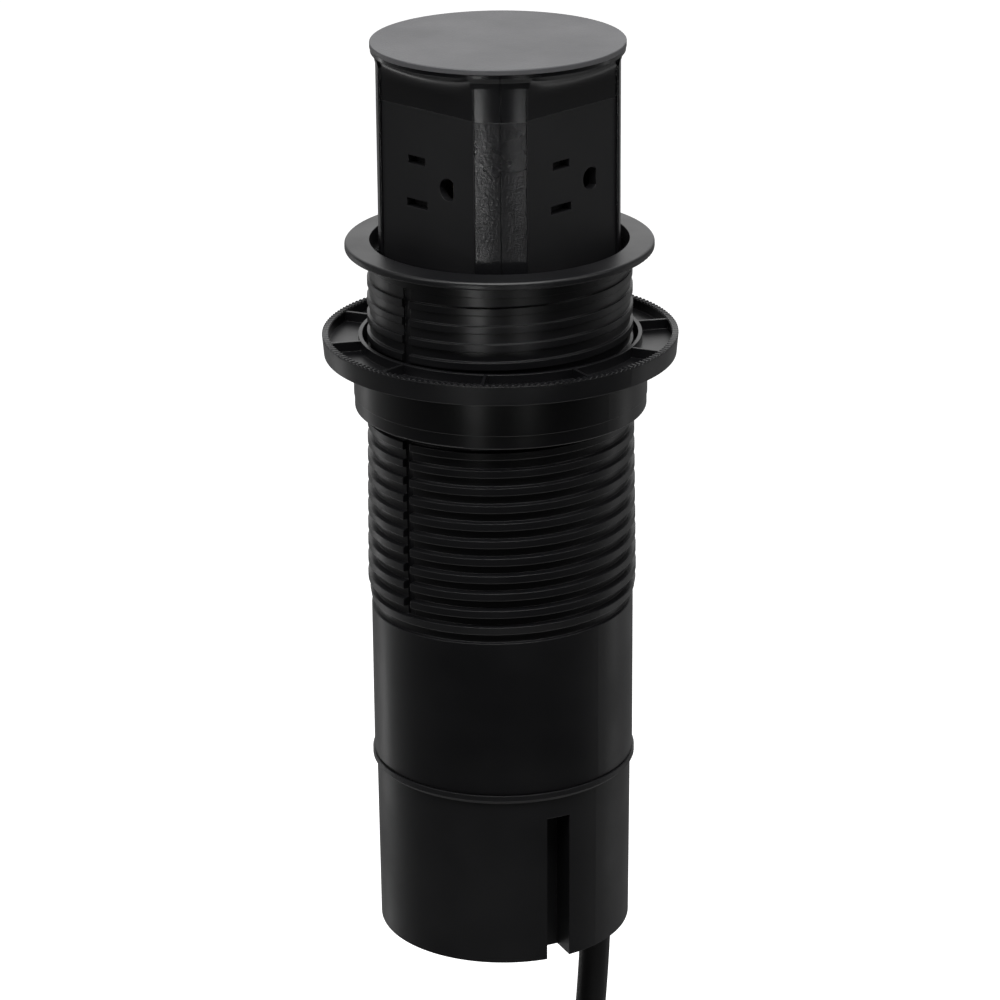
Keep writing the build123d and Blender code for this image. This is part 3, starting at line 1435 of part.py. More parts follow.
def main():
    """Builds every node and writes it."""
    shell_left, shell_right = shells()
    cap_left, cap_right = caps()
    spacer_lower, spacer_upper, carrier_top_ring = spacers()
    face = outlet_face()
    gate = shutter()
    strip = shutter_spring()
    nodes = {
        "threaded_sleeve": threaded_sleeve(),
        "base_cup": base_cup(),
        "base_cover": base_cover(),
        "cover_screws": cover_screws(),
        "mechanism_plate": mechanism_plate(),
        "plate_screws": plate_screws(),
        "latch_pivot": latch_pivot(),
        "latch_follower": latch_follower(),
        "lift_spring": lift_spring(),
        "service_lead": service_lead(),
        "base_lead": disc(LEAD_R, BASE_LEAD_BOTTOM, PLATE_TOP, lead_foot()),
        "damper_rack": damper_rack(),
        "damper_pinion": damper_pinion(),
        "damper_body": damper_body(),
        "carriage": carriage(),
        "spring_seat": spring_seat(),
        "latch_cam": latch_cam(),
        "turret_screws": turret_screws(),
        "shell_left": shell_left,
        "shell_right": shell_right,
        "cap_left": cap_left,
        "cap_right": cap_right,
        "cap_screws": cap_screws(),
        "lid": lid(),
        "neutral_bus": blade_bus(NEUTRAL_Z, SPLIT_NORMAL_ANGLE),
        "ground_bus": ground_bus(SPLIT_NORMAL_ANGLE + QUARTER),
        "line_bus": blade_bus(LINE_Z, SPLIT_NORMAL_ANGLE + QUARTER * 2),
        "carrier_base": carrier_base(),
        "carrier_screws": carrier_screws(),
        "spacer_lower": spacer_lower,
        "spacer_upper": spacer_upper,
        "carrier_top_ring": carrier_top_ring,
        "turret_lead": disc(LEAD_R, SEAT_BOTTOM, TURRET_LEAD_TOP, lead_head()),
        "turret_cores": turret_cores(),
        "terminal_block": terminal_block(),
        "terminal_screws": terminal_screws(),
        "terminal_cores": terminal_cores(),
        "cable_gland": cable_gland(),
        "mains_cord": mains_cord(),
        "cord_hank": cord_hank(),
        "hank_tie": hank_tie(),
        "plug_body": plug_body(),
        "plug_blades": plug_blades(),
        "plug_ground_pin": plug_ground_pin(),
        "clamp_disc": clamp_disc(),
        "clamp_nut": clamp_nut(),
    }
    for index, side in enumerate(("east", "north", "west", "south")):
        nodes["outlet_face_" + side] = facing(index * QUARTER, face)
        nodes["shutter_" + side] = facing(index * QUARTER, gate)
        nodes["shutter_spring_" + side] = facing(index * QUARTER, strip)
    for name, shape in nodes.items():
        write(name, shape)
    print(len(nodes), "nodes")


main()
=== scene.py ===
# %% [markdown]
# Pop up desk socket
#
# A power tower for a round hole in a desk. A turret with an outlet on each of its four
# sides slides up out of a threaded sleeve, and a ribbed disc with a nut clamps the desk
# top from below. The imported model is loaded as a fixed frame: every node is already in
# place, in metres, with the origin at the centre of the flange's underside and +Z up.
# This script gives the nodes their materials, adds the fine detail that the solids leave
# out, and sets the camera and the lights of the photograph.

# %% Load the frame
import math

import bmesh
import bpy
from mathutils import Matrix, Vector


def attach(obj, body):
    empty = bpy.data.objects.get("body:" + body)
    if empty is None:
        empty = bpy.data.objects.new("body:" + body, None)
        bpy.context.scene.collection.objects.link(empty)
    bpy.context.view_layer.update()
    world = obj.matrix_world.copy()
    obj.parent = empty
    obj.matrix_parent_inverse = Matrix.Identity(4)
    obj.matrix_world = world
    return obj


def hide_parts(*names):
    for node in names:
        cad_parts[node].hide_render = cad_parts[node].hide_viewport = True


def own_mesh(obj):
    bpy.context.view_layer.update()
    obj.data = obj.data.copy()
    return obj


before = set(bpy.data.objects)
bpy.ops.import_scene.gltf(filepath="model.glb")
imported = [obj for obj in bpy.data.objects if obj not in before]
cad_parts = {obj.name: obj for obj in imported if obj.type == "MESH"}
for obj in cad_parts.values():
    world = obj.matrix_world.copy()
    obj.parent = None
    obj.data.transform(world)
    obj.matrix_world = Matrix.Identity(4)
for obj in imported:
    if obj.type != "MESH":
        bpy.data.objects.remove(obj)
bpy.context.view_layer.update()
scene = bpy.context.scene

# %% [markdown]
# Camera
#
# The photograph is taken with a long lens, from a little above and straight at the
# turret's front corner. A camera could be placed by eye until the picture looks right. It
# was solved instead from the circles of the flange, the disc and the tube as they appear
# in the photograph, so that every edge falls where it does there.

# %% Place the camera
CAMERA_AZIMUTH = math.radians(-45.8)
CAMERA_DISTANCE = 1.0657
CAMERA_HEIGHT = 0.3137
CAMERA_PITCH = math.radians(20.202)
CAMERA_ROLL = math.radians(-0.4645)
CAMERA_LENS = 137.92
CAMERA_SENSOR = 36.0
CAMERA_SHIFT = -0.0016
NEAREST_SEEN = 0.01

away = Vector((math.cos(CAMERA_AZIMUTH), math.sin(CAMERA_AZIMUTH), 0))
right = Vector((-away.y, away.x, 0))
forward = -away * math.cos(CAMERA_PITCH) - Vector((0, 0, math.sin(CAMERA_PITCH)))
upward = right.cross(forward)
rolled_right = right * math.cos(CAMERA_ROLL) + upward * math.sin(CAMERA_ROLL)
rolled_up = upward * math.cos(CAMERA_ROLL) - right * math.sin(CAMERA_ROLL)
turn = Matrix((rolled_right, rolled_up, -forward)).transposed().to_4x4()

camera_data = bpy.data.cameras.new("camera")
camera_data.lens = CAMERA_LENS
camera_data.sensor_width = CAMERA_SENSOR
camera_data.clip_start = NEAREST_SEEN
camera_data.shift_x = CAMERA_SHIFT
camera = bpy.data.objects.new("camera", camera_data)
scene.collection.objects.link(camera)
camera.matrix_world = Matrix.Translation(away * CAMERA_DISTANCE + Vector((0, 0, CAMERA_HEIGHT))) @ turn
scene.camera = camera
print("camera at", [round(value, 4) for value in camera.location])

# %% [markdown]
# Small helpers
#
# Colours are picked from a picture, so one function turns them into the linear light that
# Cycles works in. One adds a node of any kind with its settings and links, which keeps
# the node trees readable. Two more make a mesh object from points and faces and turn a
# closed mesh's faces outwards, because a face that points inwards shades wrongly.

# %% Helpers
MM = 0.001
MERGE_REACH = 1e-7


def linear(code):
    """An sRGB hex colour as linear RGBA."""
    parts = [int(code[index : index + 2], 16) / 255 for index in (1, 3, 5)]
    light = [part / 12.92 if part <= 0.04045 else ((part + 0.055) / 1.055) ** 2.4 for part in parts]
    return (*light, 1.0)


def add_node(tree, kind, inputs=None, **settings):
    """Adds a node, sets its properties, and sets or links its inputs."""
    made = tree.nodes.new(kind)
    for name, value in settings.items():
        setattr(made, name, value)
    for name, value in (inputs or {}).items():
        if isinstance(value, bpy.types.NodeSocket):
            tree.links.new(value, made.inputs[name])
        else:
            made.inputs[name].default_value = value
    return made


def mesh_object(name, points, faces, smooth=True):
    """A mesh piece at the origin, with its place in its mesh."""
    mesh = bpy.data.meshes.new(name)
    mesh.from_pydata([tuple(point) for point in points], [], faces)
    mesh.validate()
    for polygon in mesh.polygons:
        polygon.use_smooth = smooth
    made = bpy.data.objects.new(name, mesh)
    scene.collection.objects.link(made)
    return made


def turn_faces_out(mesh, merge=False):
    """Turns a closed mesh's faces outwards, and first merges its doubled points if asked."""
    work = bmesh.new()
    work.from_mesh(mesh)
    if merge:
        bmesh.ops.remove_doubles(work, verts=work.verts, dist=MERGE_REACH)
        bmesh.ops.dissolve_degenerate(work, edges=work.edges, dist=MERGE_REACH)
    bmesh.ops.recalc_face_normals(work, faces=work.faces)
    work.to_mesh(mesh)
    work.free()


print("mid grey in linear light", round(linear("#808080")[0], 4))

# %% [markdown]
# Plastic
#
# Almost everything here is moulded plastic, and nearly all of it is black, so the finishes
# can't be told apart by colour. They differ in what the mould's surface does to the light:
# polished steel gives gloss, spark-eroded steel gives grain. One function makes them all.
# Grain is a noise in the bump, the roughness varies softly as on a real moulding, and a
# bevel in the shading rounds the sharp edges of the solids, so that they catch a thin
# line of light. Rounding each edge in the mesh would give the same for far more work.

# %% Moulded plastic
PLASTIC_IOR = 1.5
CLOUDS_PER_METRE = 45.0


def plastic(name, colour, roughness, grain_size, grain_depth, edge=0.25 * MM, cloud=0.06):
    """Moulded plastic: grain as bump, cloudy roughness, and edges rounded in the shading."""
    material = bpy.data.materials.new(name)
    material.use_nodes = True
    tree = material.node_tree
    shader = tree.nodes["Principled BSDF"]
    place = add_node(tree, "ShaderNodeTexCoord")
    grain = add_node(
        tree,
        "ShaderNodeTexNoise",
        {"Vector": place.outputs["Object"], "Scale": 1.0 / grain_size, "Detail": 2.0, "Roughness": 0.6},
    )
    patches = add_node(
        tree,
        "ShaderNodeTexNoise",
        {"Vector": place.outputs["Object"], "Scale": CLOUDS_PER_METRE, "Detail": 3.0, "Roughness": 0.5},
    )
    spread = add_node(
        tree,
        "ShaderNodeMapRange",
        {
            "Value": patches.outputs["Fac"],
            "From Min": 0.3,
            "From Max": 0.7,
            "To Min": roughness - cloud,
            "To Max": roughness + cloud,
        },
    )
    soft_edge = add_node(tree, "ShaderNodeBevel", {"Radius": edge}, samples=6)
    bump = add_node(
        tree,
        "ShaderNodeBump",
        {
            "Height": grain.outputs["Fac"],
            "Distance": grain_depth,
            "Strength": 1.0,
            "Normal": soft_edge.outputs["Normal"],
        },
    )
    shader.inputs["Base Color"].default_value = linear(colour)
    shader.inputs["IOR"].default_value = PLASTIC_IOR
    tree.links.new(spread.outputs["Result"], shader.inputs["Roughness"])
    tree.links.new(bump.outputs["Normal"], shader.inputs["Normal"])
    return material


# Nylon, moulded satin: wide soft highlights along the thread and the tube.
sleeve_black = plastic("nylon_satin_sleeve", "#101012", 0.38, 0.6 * MM, 0.01 * MM, edge=0.4 * MM)
# ABS, moulded satin, a little duller than the sleeve.
cup_black = plastic("abs_satin_cup", "#121214", 0.46, 0.5 * MM, 0.01 * MM)
# ABS with a spark-eroded grain, which sparkles. The real grain is finer than a pixel, so
# it is drawn coarse and deep enough to show.
column_black = plastic("abs_grained_column", "#111113", 0.3, 0.9 * MM, 0.12 * MM)
# ABS with a fine matt texture: an even dark grey without highlights.
face_black = plastic("abs_fine_outlet_face", "#111113", 0.50, 0.35 * MM, 0.01 * MM)
# ABS from a polished mould: a clear reflection under the lid's edge.
cap_black = plastic("abs_gloss_cap", "#0c0c0e", 0.22, 0.8 * MM, 0.002 * MM, cloud=0.03)
# Nylon, moulded smooth: bright ends to its highlights.
nut_black = plastic("nylon_smooth_nut", "#0f0f11", 0.34, 0.8 * MM, 0.004 * MM, cloud=0.04)
# Nylon, moulded satin, with well rounded ribs.
disc_black = plastic("nylon_satin_disc", "#0f0f11", 0.36, 0.5 * MM, 0.008 * MM, edge=0.3 * MM)
# ABS in grey with a leather-like texture, drawn deep enough to break up the light.
lid_grey = plastic("abs_textured_lid", "#555557", 0.5, 0.7 * MM, 0.15 * MM, edge=0.2 * MM)
# Uncoloured nylon, which insulates the live parts.
inner_ivory = plastic("nylon_natural_inner", "#cfc9b8", 0.45, 0.6 * MM, 0.005 * MM)
# Acetal, matt, and near black: its near black is painted shade that makes the slots in front of it look
# open.
shutter_painted_shade = plastic("acetal_shutter_painted_shade", "#050506", 0.6, 0.5 * MM, 0.005 * MM)
# Soft PVC, drawn through a die: dull, with a long soft highlight.
cord_black = plastic("pvc_sheath_cord", "#101011", 0.52, 1.2 * MM, 0.02 * MM, edge=0.2 * MM)
# Woven hook and loop tape, which scatters the light.
tie_black = plastic("woven_nylon_tie", "#1a1a1b", 0.7, 0.3 * MM, 0.03 * MM)
# Thin PVC insulation of the inner wires.
core_grey = plastic("pvc_insulation_core", "#7a7a78", 0.45, 0.8 * MM, 0.005 * MM)
print("plastics of the turret", column_black.name, face_black.name, cap_black.name, lid_grey.name)

# %% [markdown]
# Metal
#
# The screws, the springs and the contacts are metal. They were plated, drawn or stamped,
# and each way leaves fine marks. The marks are a noise in the roughness, stretched along
# the piece, which is lighter work than modelling scratches and looks the same at this size.

# %% Metals
MARKS_PER_METRE = 900.0
METAL_EDGE = 0.12 * MM


def metal(name, colour, roughness, streak):
    """Plated, drawn or stamped metal; streak is the scale of its marks along +Z."""
    material = bpy.data.materials.new(name)
    material.use_nodes = True
    tree = material.node_tree
    shader = tree.nodes["Principled BSDF"]
    place = add_node(tree, "ShaderNodeTexCoord")
    drawn = add_node(
        tree,
        "ShaderNodeMapping",
        {"Vector": place.outputs["Object"], "Scale": (1.0, 1.0, streak)},
    )
    marks = add_node(
        tree,
        "ShaderNodeTexNoise",
        {"Vector": drawn.outputs["Vector"], "Scale": MARKS_PER_METRE, "Detail": 2.0},
    )
    spread = add_node(
        tree,
        "ShaderNodeMapRange",
        {"Value": marks.outputs["Fac"], "To Min": roughness * 0.7, "To Max": roughness * 1.3},
    )
    soft_edge = add_node(tree, "ShaderNodeBevel", {"Radius": METAL_EDGE}, samples=4)
    shader.inputs["Base Color"].default_value = linear(colour)
    shader.inputs["Metallic"].default_value = 1.0
    tree.links.new(spread.outputs["Result"], shader.inputs["Roughness"])
    tree.links.new(soft_edge.outputs["Normal"], shader.inputs["Normal"])
    return material


# Zinc-plated steel: a cool grey with blurred reflections.
zinc = metal("zinc_plated_steel", "#b9bcc0", 0.3, 1.0)
# Spring steel, drawn to wire: streaks along its length.
spring_wire = metal("drawn_spring_steel", "#8f9296", 0.25, 0.2)
# Brass, stamped from strip: warm, with faint rolling marks.
brass = metal("stamped_brass", "#c9a35a", 0.28, 0.3)
print("metals", zinc.name, spring_wire.name, brass.name)

# %% [markdown]
# Finishes of the nodes
#
# Each solid takes the finish of its real piece. The insulators and the mechanism inside
# are all of one uncoloured nylon, so it is the default and only the others are listed.

# %% Dress the nodes
SIDES = ("east", "north", "west", "south")


def on_every_side(stem):
    """The four nodes of a piece that every outlet has."""
    return tuple(stem + side for side in SIDES)


finishes = (
    (sleeve_black, ("threaded_sleeve", "carriage", "spring_seat")),
    (cup_black, ("base_cup", "base_cover")),
    (column_black, ("shell_left", "shell_right")),
    (face_black, on_every_side("outlet_face_")),
    (cap_black, ("cap_left", "cap_right")),
    (lid_grey, ("lid",)),
    (disc_black, ("clamp_disc",)),
    (nut_black, ("clamp_nut",)),
    # The shutters' near black is painted shade of the open slots in front of them.
    (shutter_painted_shade, on_every_side("shutter_")),
    (cord_black, ("cable_gland", "base_lead", "service_lead", "turret_lead", "plug_body")),
    (tie_black, ("hank_tie",)),
    (core_grey, ("turret_cores", "terminal_cores")),
    (spring_wire, ("lift_spring", *on_every_side("shutter_spring_"))),
    (brass, ("line_bus", "neutral_bus", "ground_bus", "terminal_screws")),
    (brass, ("plug_blades", "plug_ground_pin")),
    (zinc, ("turret_screws", "cap_screws", "carrier_screws", "plate_screws", "cover_screws")),
    (zinc, ("latch_pivot", "latch_follower")),
)
looks = {node: finish for finish, nodes in finishes for node in nodes}
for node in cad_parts:
    solid = bpy.data.objects[node]
    solid.data.materials.clear()
    solid.data.materials.append(looks.get(node, inner_ivory))
print("nodes dressed", len(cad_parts), "of them with the default", len(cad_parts) - len(looks))

# %% [markdown]
# Cord
#
# The mains cord comes out of the cup through its strain relief and hangs down a little to
# the left. The length that the photograph doesn't show is folded into a hank below the
# view, as such a cord is packed. A mesh tube could be swept by hand, but a curve with a
# round bevel stays smooth and keeps its real length. Its line is one spline: a few points
# down to the hank, two points at the waist for each run, and a few round a circle for each
# fold.

# %% The cord's route
CORD_DIAMETER = 0.0094
EXIT = (0.0202, 0.0202, -0.181)
CORD_BEND = (0.0202, 0.0202, -0.214)
CORD_LEAN = (0.0174, 0.0186, -0.262)
FOLD_RADIUS = 0.0285
FOLD_POINTS = 6
RUNS = 7
LAYER_STEP = 0.0051
FIRST_DEPTH = 0.0186
TOP_CENTRE = -0.298
BOTTOM_CENTRE = -0.456
WAIST_X = 0.0075
WAIST_Z = 0.021
TAIL_DEPTH = -0.0266
TAIL_TOP = -0.428
TAIL_END = -0.442


def fold_points(number):
    """Control points round one fold; odd folds are at the bottom of the hank."""
    sense = -1 if number % 2 else 1
    centre = BOTTOM_CENTRE if number % 2 else TOP_CENTRE
    side = 1 if number % 2 else -1
    reach = (TOP_CENTRE - BOTTOM_CENTRE) / 2 - WAIST_Z
    lean = math.asin(FOLD_RADIUS / math.hypot(WAIST_X, reach)) - math.atan(WAIST_X / reach)
    step = (math.pi + 2 * lean) / FOLD_POINTS
    radius = FOLD_RADIUS / math.cos(step / 2)
    depth = FIRST_DEPTH - LAYER_STEP * number
    points = []
    for index in range(FOLD_POINTS):
        angle = -lean + (index + 0.5) * step
        points.append((side * radius * math.cos(angle), depth, centre + sense * radius * math.sin(angle)))
    return points


middle = (TOP_CENTRE + BOTTOM_CENTRE) / 2
route = [EXIT, CORD_BEND, CORD_LEAN]
for run in range(RUNS):
    side = -1 if run % 2 else 1
    route.append((side * WAIST_X, FIRST_DEPTH - LAYER_STEP * run, middle + side * WAIST_Z))
    route.append((side * WAIST_X, FIRST_DEPTH - LAYER_STEP * (run + 1), middle - side * WAIST_Z))
    if run < RUNS - 1:
        route += fold_points(run + 1)
route += [(WAIST_X, TAIL_DEPTH, TAIL_TOP), (WAIST_X, TAIL_DEPTH, TAIL_END)]
print("cord control points", len(route))

# %% The cord
CORD_SIDE_STEPS = 6
CORD_LENGTH_STEPS = 10

cord_curve = bpy.data.curves.new("mains_cord_line", "CURVE")
cord_curve.dimensions = "3D"
cord_curve.bevel_depth = CORD_DIAMETER / 2
cord_curve.bevel_resolution = CORD_SIDE_STEPS
cord_curve.resolution_u = CORD_LENGTH_STEPS
cord_curve.use_fill_caps = True
line = cord_curve.splines.new("NURBS")
line.points.add(len(route) - 1)
for point, place in zip(line.points, route):
    point.co = (*place, 1.0)
line.order_u = 3
line.use_endpoint_u = True
cord = bpy.data.objects.new("mains_cord_line", cord_curve)
scene.collection.objects.link(cord)
cord_curve.materials.append(cord_black)
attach(cord, "base")
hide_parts("mains_cord", "cord_hank")

# %% [markdown]
# Skins
#
# The plug and the strain relief are soft mouldings whose outline changes along their
# length. They could be sculpted, but stacked outlines with a skin over them keep every
# size in view. Each outline is a rectangle with round corners, which is a circle where
# its corners take its whole size, so one function serves the round and the flat parts.

# %% Skins over outlines
CORNER_STEPS = 8


def outline(half_x, half_y, corner):
    """Points round a rectangle with round corners, the same number for every size."""
    points = []
    for quarter in range(4):
        centre_x = (half_x - corner) * (1 if quarter in (0, 3) else -1)
        centre_y = (half_y - corner) * (1 if quarter in (0, 1) else -1)
        for step in range(CORNER_STEPS + 1):
            angle = math.radians(90 * (quarter + step / CORNER_STEPS))
            points.append((centre_x + corner * math.cos(angle), centre_y + corner * math.sin(angle)))
    return points


def skin(name, centre, sections, sharp=35):
    """A closed skin over (height, half x, half y, corner) sections in millimetres."""
    points = []
    faces = []
    count = 4 * (CORNER_STEPS + 1)
    for height, half_x, half_y, corner in sections:
        for x, y in outline(half_x, half_y, corner):
            points.append(((centre[0] + x) * MM, (centre[1] + y) * MM, height * MM))
    for level in range(len(sections) - 1):
        for index in range(count):
            after = (index + 1) % count
            low = level * count
            faces.append((low + index, low + after, low + count + after, low + count + index))
    faces.append(tuple(range(count))[::-1])
    faces.append(tuple(range((len(sections) - 1) * count, len(sections) * count)))
    made = mesh_object(name, points, faces)
    turn_faces_out(made.data, merge=True)
    made.data.set_sharp_from_angle(angle=math.radians(sharp))
    return made


def round_section(height, radius):
    """A circular section."""
    return (height, radius, radius, radius)


print("points round an outline", 4 * (CORNER_STEPS + 1))

# %% [markdown]
# Strain relief
#
# Where the cord leaves the cup, a soft boot holds it and stops it from bending sharply.
# It has a flange on the cup's floor, a neck through the floor and a tapered boot below
# it, whose ribs let it bend. The ribs are a loop of four sections each.

# %% Strain relief
GLAND_PLACE = (20.2, 20.2)
FLANGE_TOP = -184.4
FLANGE_BOTTOM = -186.9
FLANGE_RADIUS = 6.85
FLANGE_TOP_RADIUS = 6.5
FLANGE_EDGE = 0.4
CORD_HOLE_RADIUS = 4.75
NECK_RADIUS = 5.9
BOOT_TOP = -190.0
BOOT_END = -210.0
BOOT_RADIUS = 6.35
BOOT_TOP_RADIUS = 6.3
BOOT_TAPER = 1.1
BOOT_RIBS = 6
FIRST_RIB_SHARE = 0.15
BOOT_END_RADIUS = 5.2
BOOT_TIP = 0.2

# A rib's outline: the place down its pitch as a share, and the depth of the groove there.
RIB_OUTLINE = ((0.35, 0.0), (0.42, 0.6), (0.62, 0.75), (0.72, 0.1))

gland = [
    round_section(FLANGE_TOP, CORD_HOLE_RADIUS),
    round_section(FLANGE_TOP, FLANGE_TOP_RADIUS),
    round_section(FLANGE_TOP - FLANGE_EDGE, FLANGE_RADIUS),
    round_section(FLANGE_BOTTOM, FLANGE_RADIUS),
    round_section(FLANGE_BOTTOM, NECK_RADIUS),
    round_section(BOOT_TOP, NECK_RADIUS),
    round_section(BOOT_TOP, BOOT_TOP_RADIUS),
]
rib_pitch = (BOOT_END - BOOT_TOP) / BOOT_RIBS
for rib in range(BOOT_RIBS):
    share = (rib + FIRST_RIB_SHARE) / BOOT_RIBS
    top = BOOT_TOP + (BOOT_END - BOOT_TOP) * share
    radius = BOOT_RADIUS - BOOT_TAPER * share
    gland += [round_section(top + rib_pitch * down, radius - depth) for down, depth in RIB_OUTLINE]
gland.append(round_section(BOOT_END + BOOT_TIP, BOOT_END_RADIUS))
gland.append(round_section(BOOT_END, BOOT_END_RADIUS - BOOT_TIP))
relief = skin("strain_relief", GLAND_PLACE, gland)
relief.data.materials.append(cord_black)
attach(relief, "base")
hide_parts("cable_gland")
print("strain relief sections", len(gland))

# %% [markdown]
# Plug
#
# The plug is moulded onto the cord in one piece. From the cord down it has a ribbed boot,
# a shoulder that spreads to the body, a grip with five grooves on its narrow sides, and a
# flat foot that the blades stand in. The sections follow it from top to bottom.

# %% Plug
PLUG_PLACE = (7.5, -26.6)
PLUG_TOP = -442.0
PLUG_SHOULDER = -462.0
PLUG_FACE = -488.0
PLUG_RIBS = 6
GRIP_TOP = PLUG_SHOULDER - 6.0
GRIP_PITCH = 2.2
GRIP_GROOVES = 5
GRIP_BODY = (12.2, 8.5, 3.0)
GRIP_GROOVE = (11.5, 8.5, 2.8)
FOOT = (12.45, 8.6, 3.0)

# The boot's ribs: the place down a rib's pitch as a share, and the radius there.
PLUG_RIB_OUTLINE = ((0.50, 5.2), (0.58, 4.9), (0.80, 4.9), (0.88, 5.2))
# The grip's grooves: the depth below a groove's top, and the outline there.
GRIP_OUTLINE = ((0.0, GRIP_BODY), (0.25, GRIP_GROOVE), (0.95, GRIP_GROOVE), (1.2, GRIP_BODY))

plug = [round_section(PLUG_TOP, 4.8), round_section(PLUG_TOP - 0.3, 5.15)]
rib_pitch = (PLUG_SHOULDER - PLUG_TOP) / PLUG_RIBS
for rib in range(PLUG_RIBS):
    top = PLUG_TOP + rib_pitch * rib
    plug += [round_section(top + rib_pitch * down, radius) for down, radius in PLUG_RIB_OUTLINE]
plug += [
    (PLUG_SHOULDER + 0.8, 5.6, 5.6, 5.55),
    (PLUG_SHOULDER - 0.1, 7.0, 6.4, 4.5),
    (PLUG_SHOULDER - 0.9, 9.6, 7.4, 3.6),
    (PLUG_SHOULDER - 2.4, 11.4, 8.1, 3.2),
    (PLUG_SHOULDER - 4.2, 12.1, 8.45, 3.0),
]
for groove in range(GRIP_GROOVES):
    top = GRIP_TOP - groove * GRIP_PITCH
    plug += [(top - down, *shape) for down, shape in GRIP_OUTLINE]
plug += [
    (PLUG_FACE + 5.6, *GRIP_BODY),
    (PLUG_FACE + 5.0, *FOOT),
    (PLUG_FACE + 0.6, *FOOT),
    (PLUG_FACE + 0.15, 12.2, 8.35, 2.8),
    (PLUG_FACE, 11.8, 7.95, 2.4),
]
plug_skin = skin("plug_moulding", PLUG_PLACE, plug, sharp=50)
plug_skin.data.materials.append(cord_black)
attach(plug_skin, "base")
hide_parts("plug_body")
print("plug sections", len(plug))

# %% [markdown]
# Rim teeth
#
# The clamp disc's rim carries fine teeth that bite the underside of the desk. An array
# modifier could repeat one tooth, but it needs a helper object to turn by. A node tree
# needs only a count: it puts one copy of the tooth on each of as many points, all on the
# axis, and turns each copy a step further.

# %% Repeat round the axis


def round_axis_tree():
    """A node tree that repeats the shape it is given round the vertical axis."""
    tree = bpy.data.node_groups.new("repeat_round_axis", "GeometryNodeTree")
    sockets = tree.interface
    sockets.new_socket("Shape", in_out="INPUT", socket_type="NodeSocketGeometry")
    sockets.new_socket("Count", in_out="INPUT", socket_type="NodeSocketInt")
    sockets.new_socket("Material", in_out="INPUT", socket_type="NodeSocketMaterial")
    sockets.new_socket("Shape", in_out="OUTPUT", socket_type="NodeSocketGeometry")
    entry = tree.nodes.new("NodeGroupInput")
    leave = tree.nodes.new("NodeGroupOutput")
    points = add_node(tree, "GeometryNodePoints", {"Count": entry.outputs["Count"]})
    index = add_node(tree, "GeometryNodeInputIndex")
    step = add_node(tree, "ShaderNodeMath", {0: math.tau, 1: entry.outputs["Count"]}, operation="DIVIDE")
    angle = add_node(tree, "ShaderNodeMath", {0: index.outputs[0], 1: step.outputs[0]}, operation="MULTIPLY")
    turned = add_node(tree, "ShaderNodeCombineXYZ", {"Z": angle.outputs[0]})
    copies = add_node(
        tree,
        "GeometryNodeInstanceOnPoints",
        {"Points": points.outputs[0], "Instance": entry.outputs["Shape"], "Rotation": turned.outputs[0]},
    )
    real = add_node(tree, "GeometryNodeRealizeInstances", {"Geometry": copies.outputs[0]})
    dressed = add_node(
        tree,
        "GeometryNodeSetMaterial",
        {"Geometry": real.outputs[0], "Material": entry.outputs["Material"]},
    )
    tree.links.new(dressed.outputs[0], leave.inputs[0])
    return tree


def keep_result(piece, modifier):
    """Makes what a modifier gives the piece's own plain mesh, and removes the modifier."""
    bpy.context.view_layer.update()
    ready = piece.evaluated_get(bpy.context.evaluated_depsgraph_get())
    mesh = bpy.data.meshes.new_from_object(ready)
    piece.modifiers.remove(modifier)
    piece.data = mesh


def repeat_round_axis(piece, count, material):
    """Repeats a piece round the axis and keeps the result as its plain mesh."""
    tree = round_axis_tree()
    modifier = piece.modifiers.new("repeat", "NODES")
    modifier.node_group = tree
    names = {item.name: item.identifier for item in tree.interface.items_tree if item.in_out == "INPUT"}
    modifier[names["Count"]] = count
    modifier[names["Material"]] = material
    keep_result(piece, modifier)
    print(piece.name, "repeated", count, "times")

# %% Rim teeth
TEETH = 180
TOOTH_HEIGHT = 0.45 * MM
TOOTH_SUNK = 0.05 * MM
TOOTH_FOOT_SHARE = 0.47
TOOTH_TIP_SHARE = 0.14
RIM_TOP = -25.8 * MM
RIM_INNER = 50.15 * MM
RIM_OUTER = 51.93 * MM

tooth_angle = math.tau / TEETH
tooth_points = []
for radius in (RIM_INNER, RIM_OUTER):
    foot = radius * tooth_angle * TOOTH_FOOT_SHARE
    tip = radius * tooth_angle * TOOTH_TIP_SHARE
    tooth_points += [
        (radius, -foot, RIM_TOP - TOOTH_SUNK),
        (radius, -foot, RIM_TOP),
        (radius, -tip, RIM_TOP + TOOTH_HEIGHT),
        (radius, tip, RIM_TOP + TOOTH_HEIGHT),
        (radius, foot, RIM_TOP),
        (radius, foot, RIM_TOP - TOOTH_SUNK),
    ]
tooth_faces = [(index, (index + 1) % 6, (index + 1) % 6 + 6, index + 6) for index in range(6)]
tooth_faces += [(0, 5, 4, 3, 2, 1), (6, 7, 8, 9, 10, 11)]
teeth = mesh_object("rim_teeth", tooth_points, tooth_faces, smooth=False)
turn_faces_out(teeth.data)
repeat_round_axis(teeth, TEETH, disc_black)
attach(teeth, "clamp_disc")
print("faces of the teeth", len(teeth.data.polygons))

# %% [markdown]
# Screws
#
# The solids' screws are plain pins with heads. The real ones have a domed head with a
# cross recess and a thread that cuts into the plastic. The body is turned like on a lathe
# from rows of heights and radii, and on the thread's rows the radius also changes with
# the angle, which makes a helix without a sweep. The recess is cut with a tapered cross.

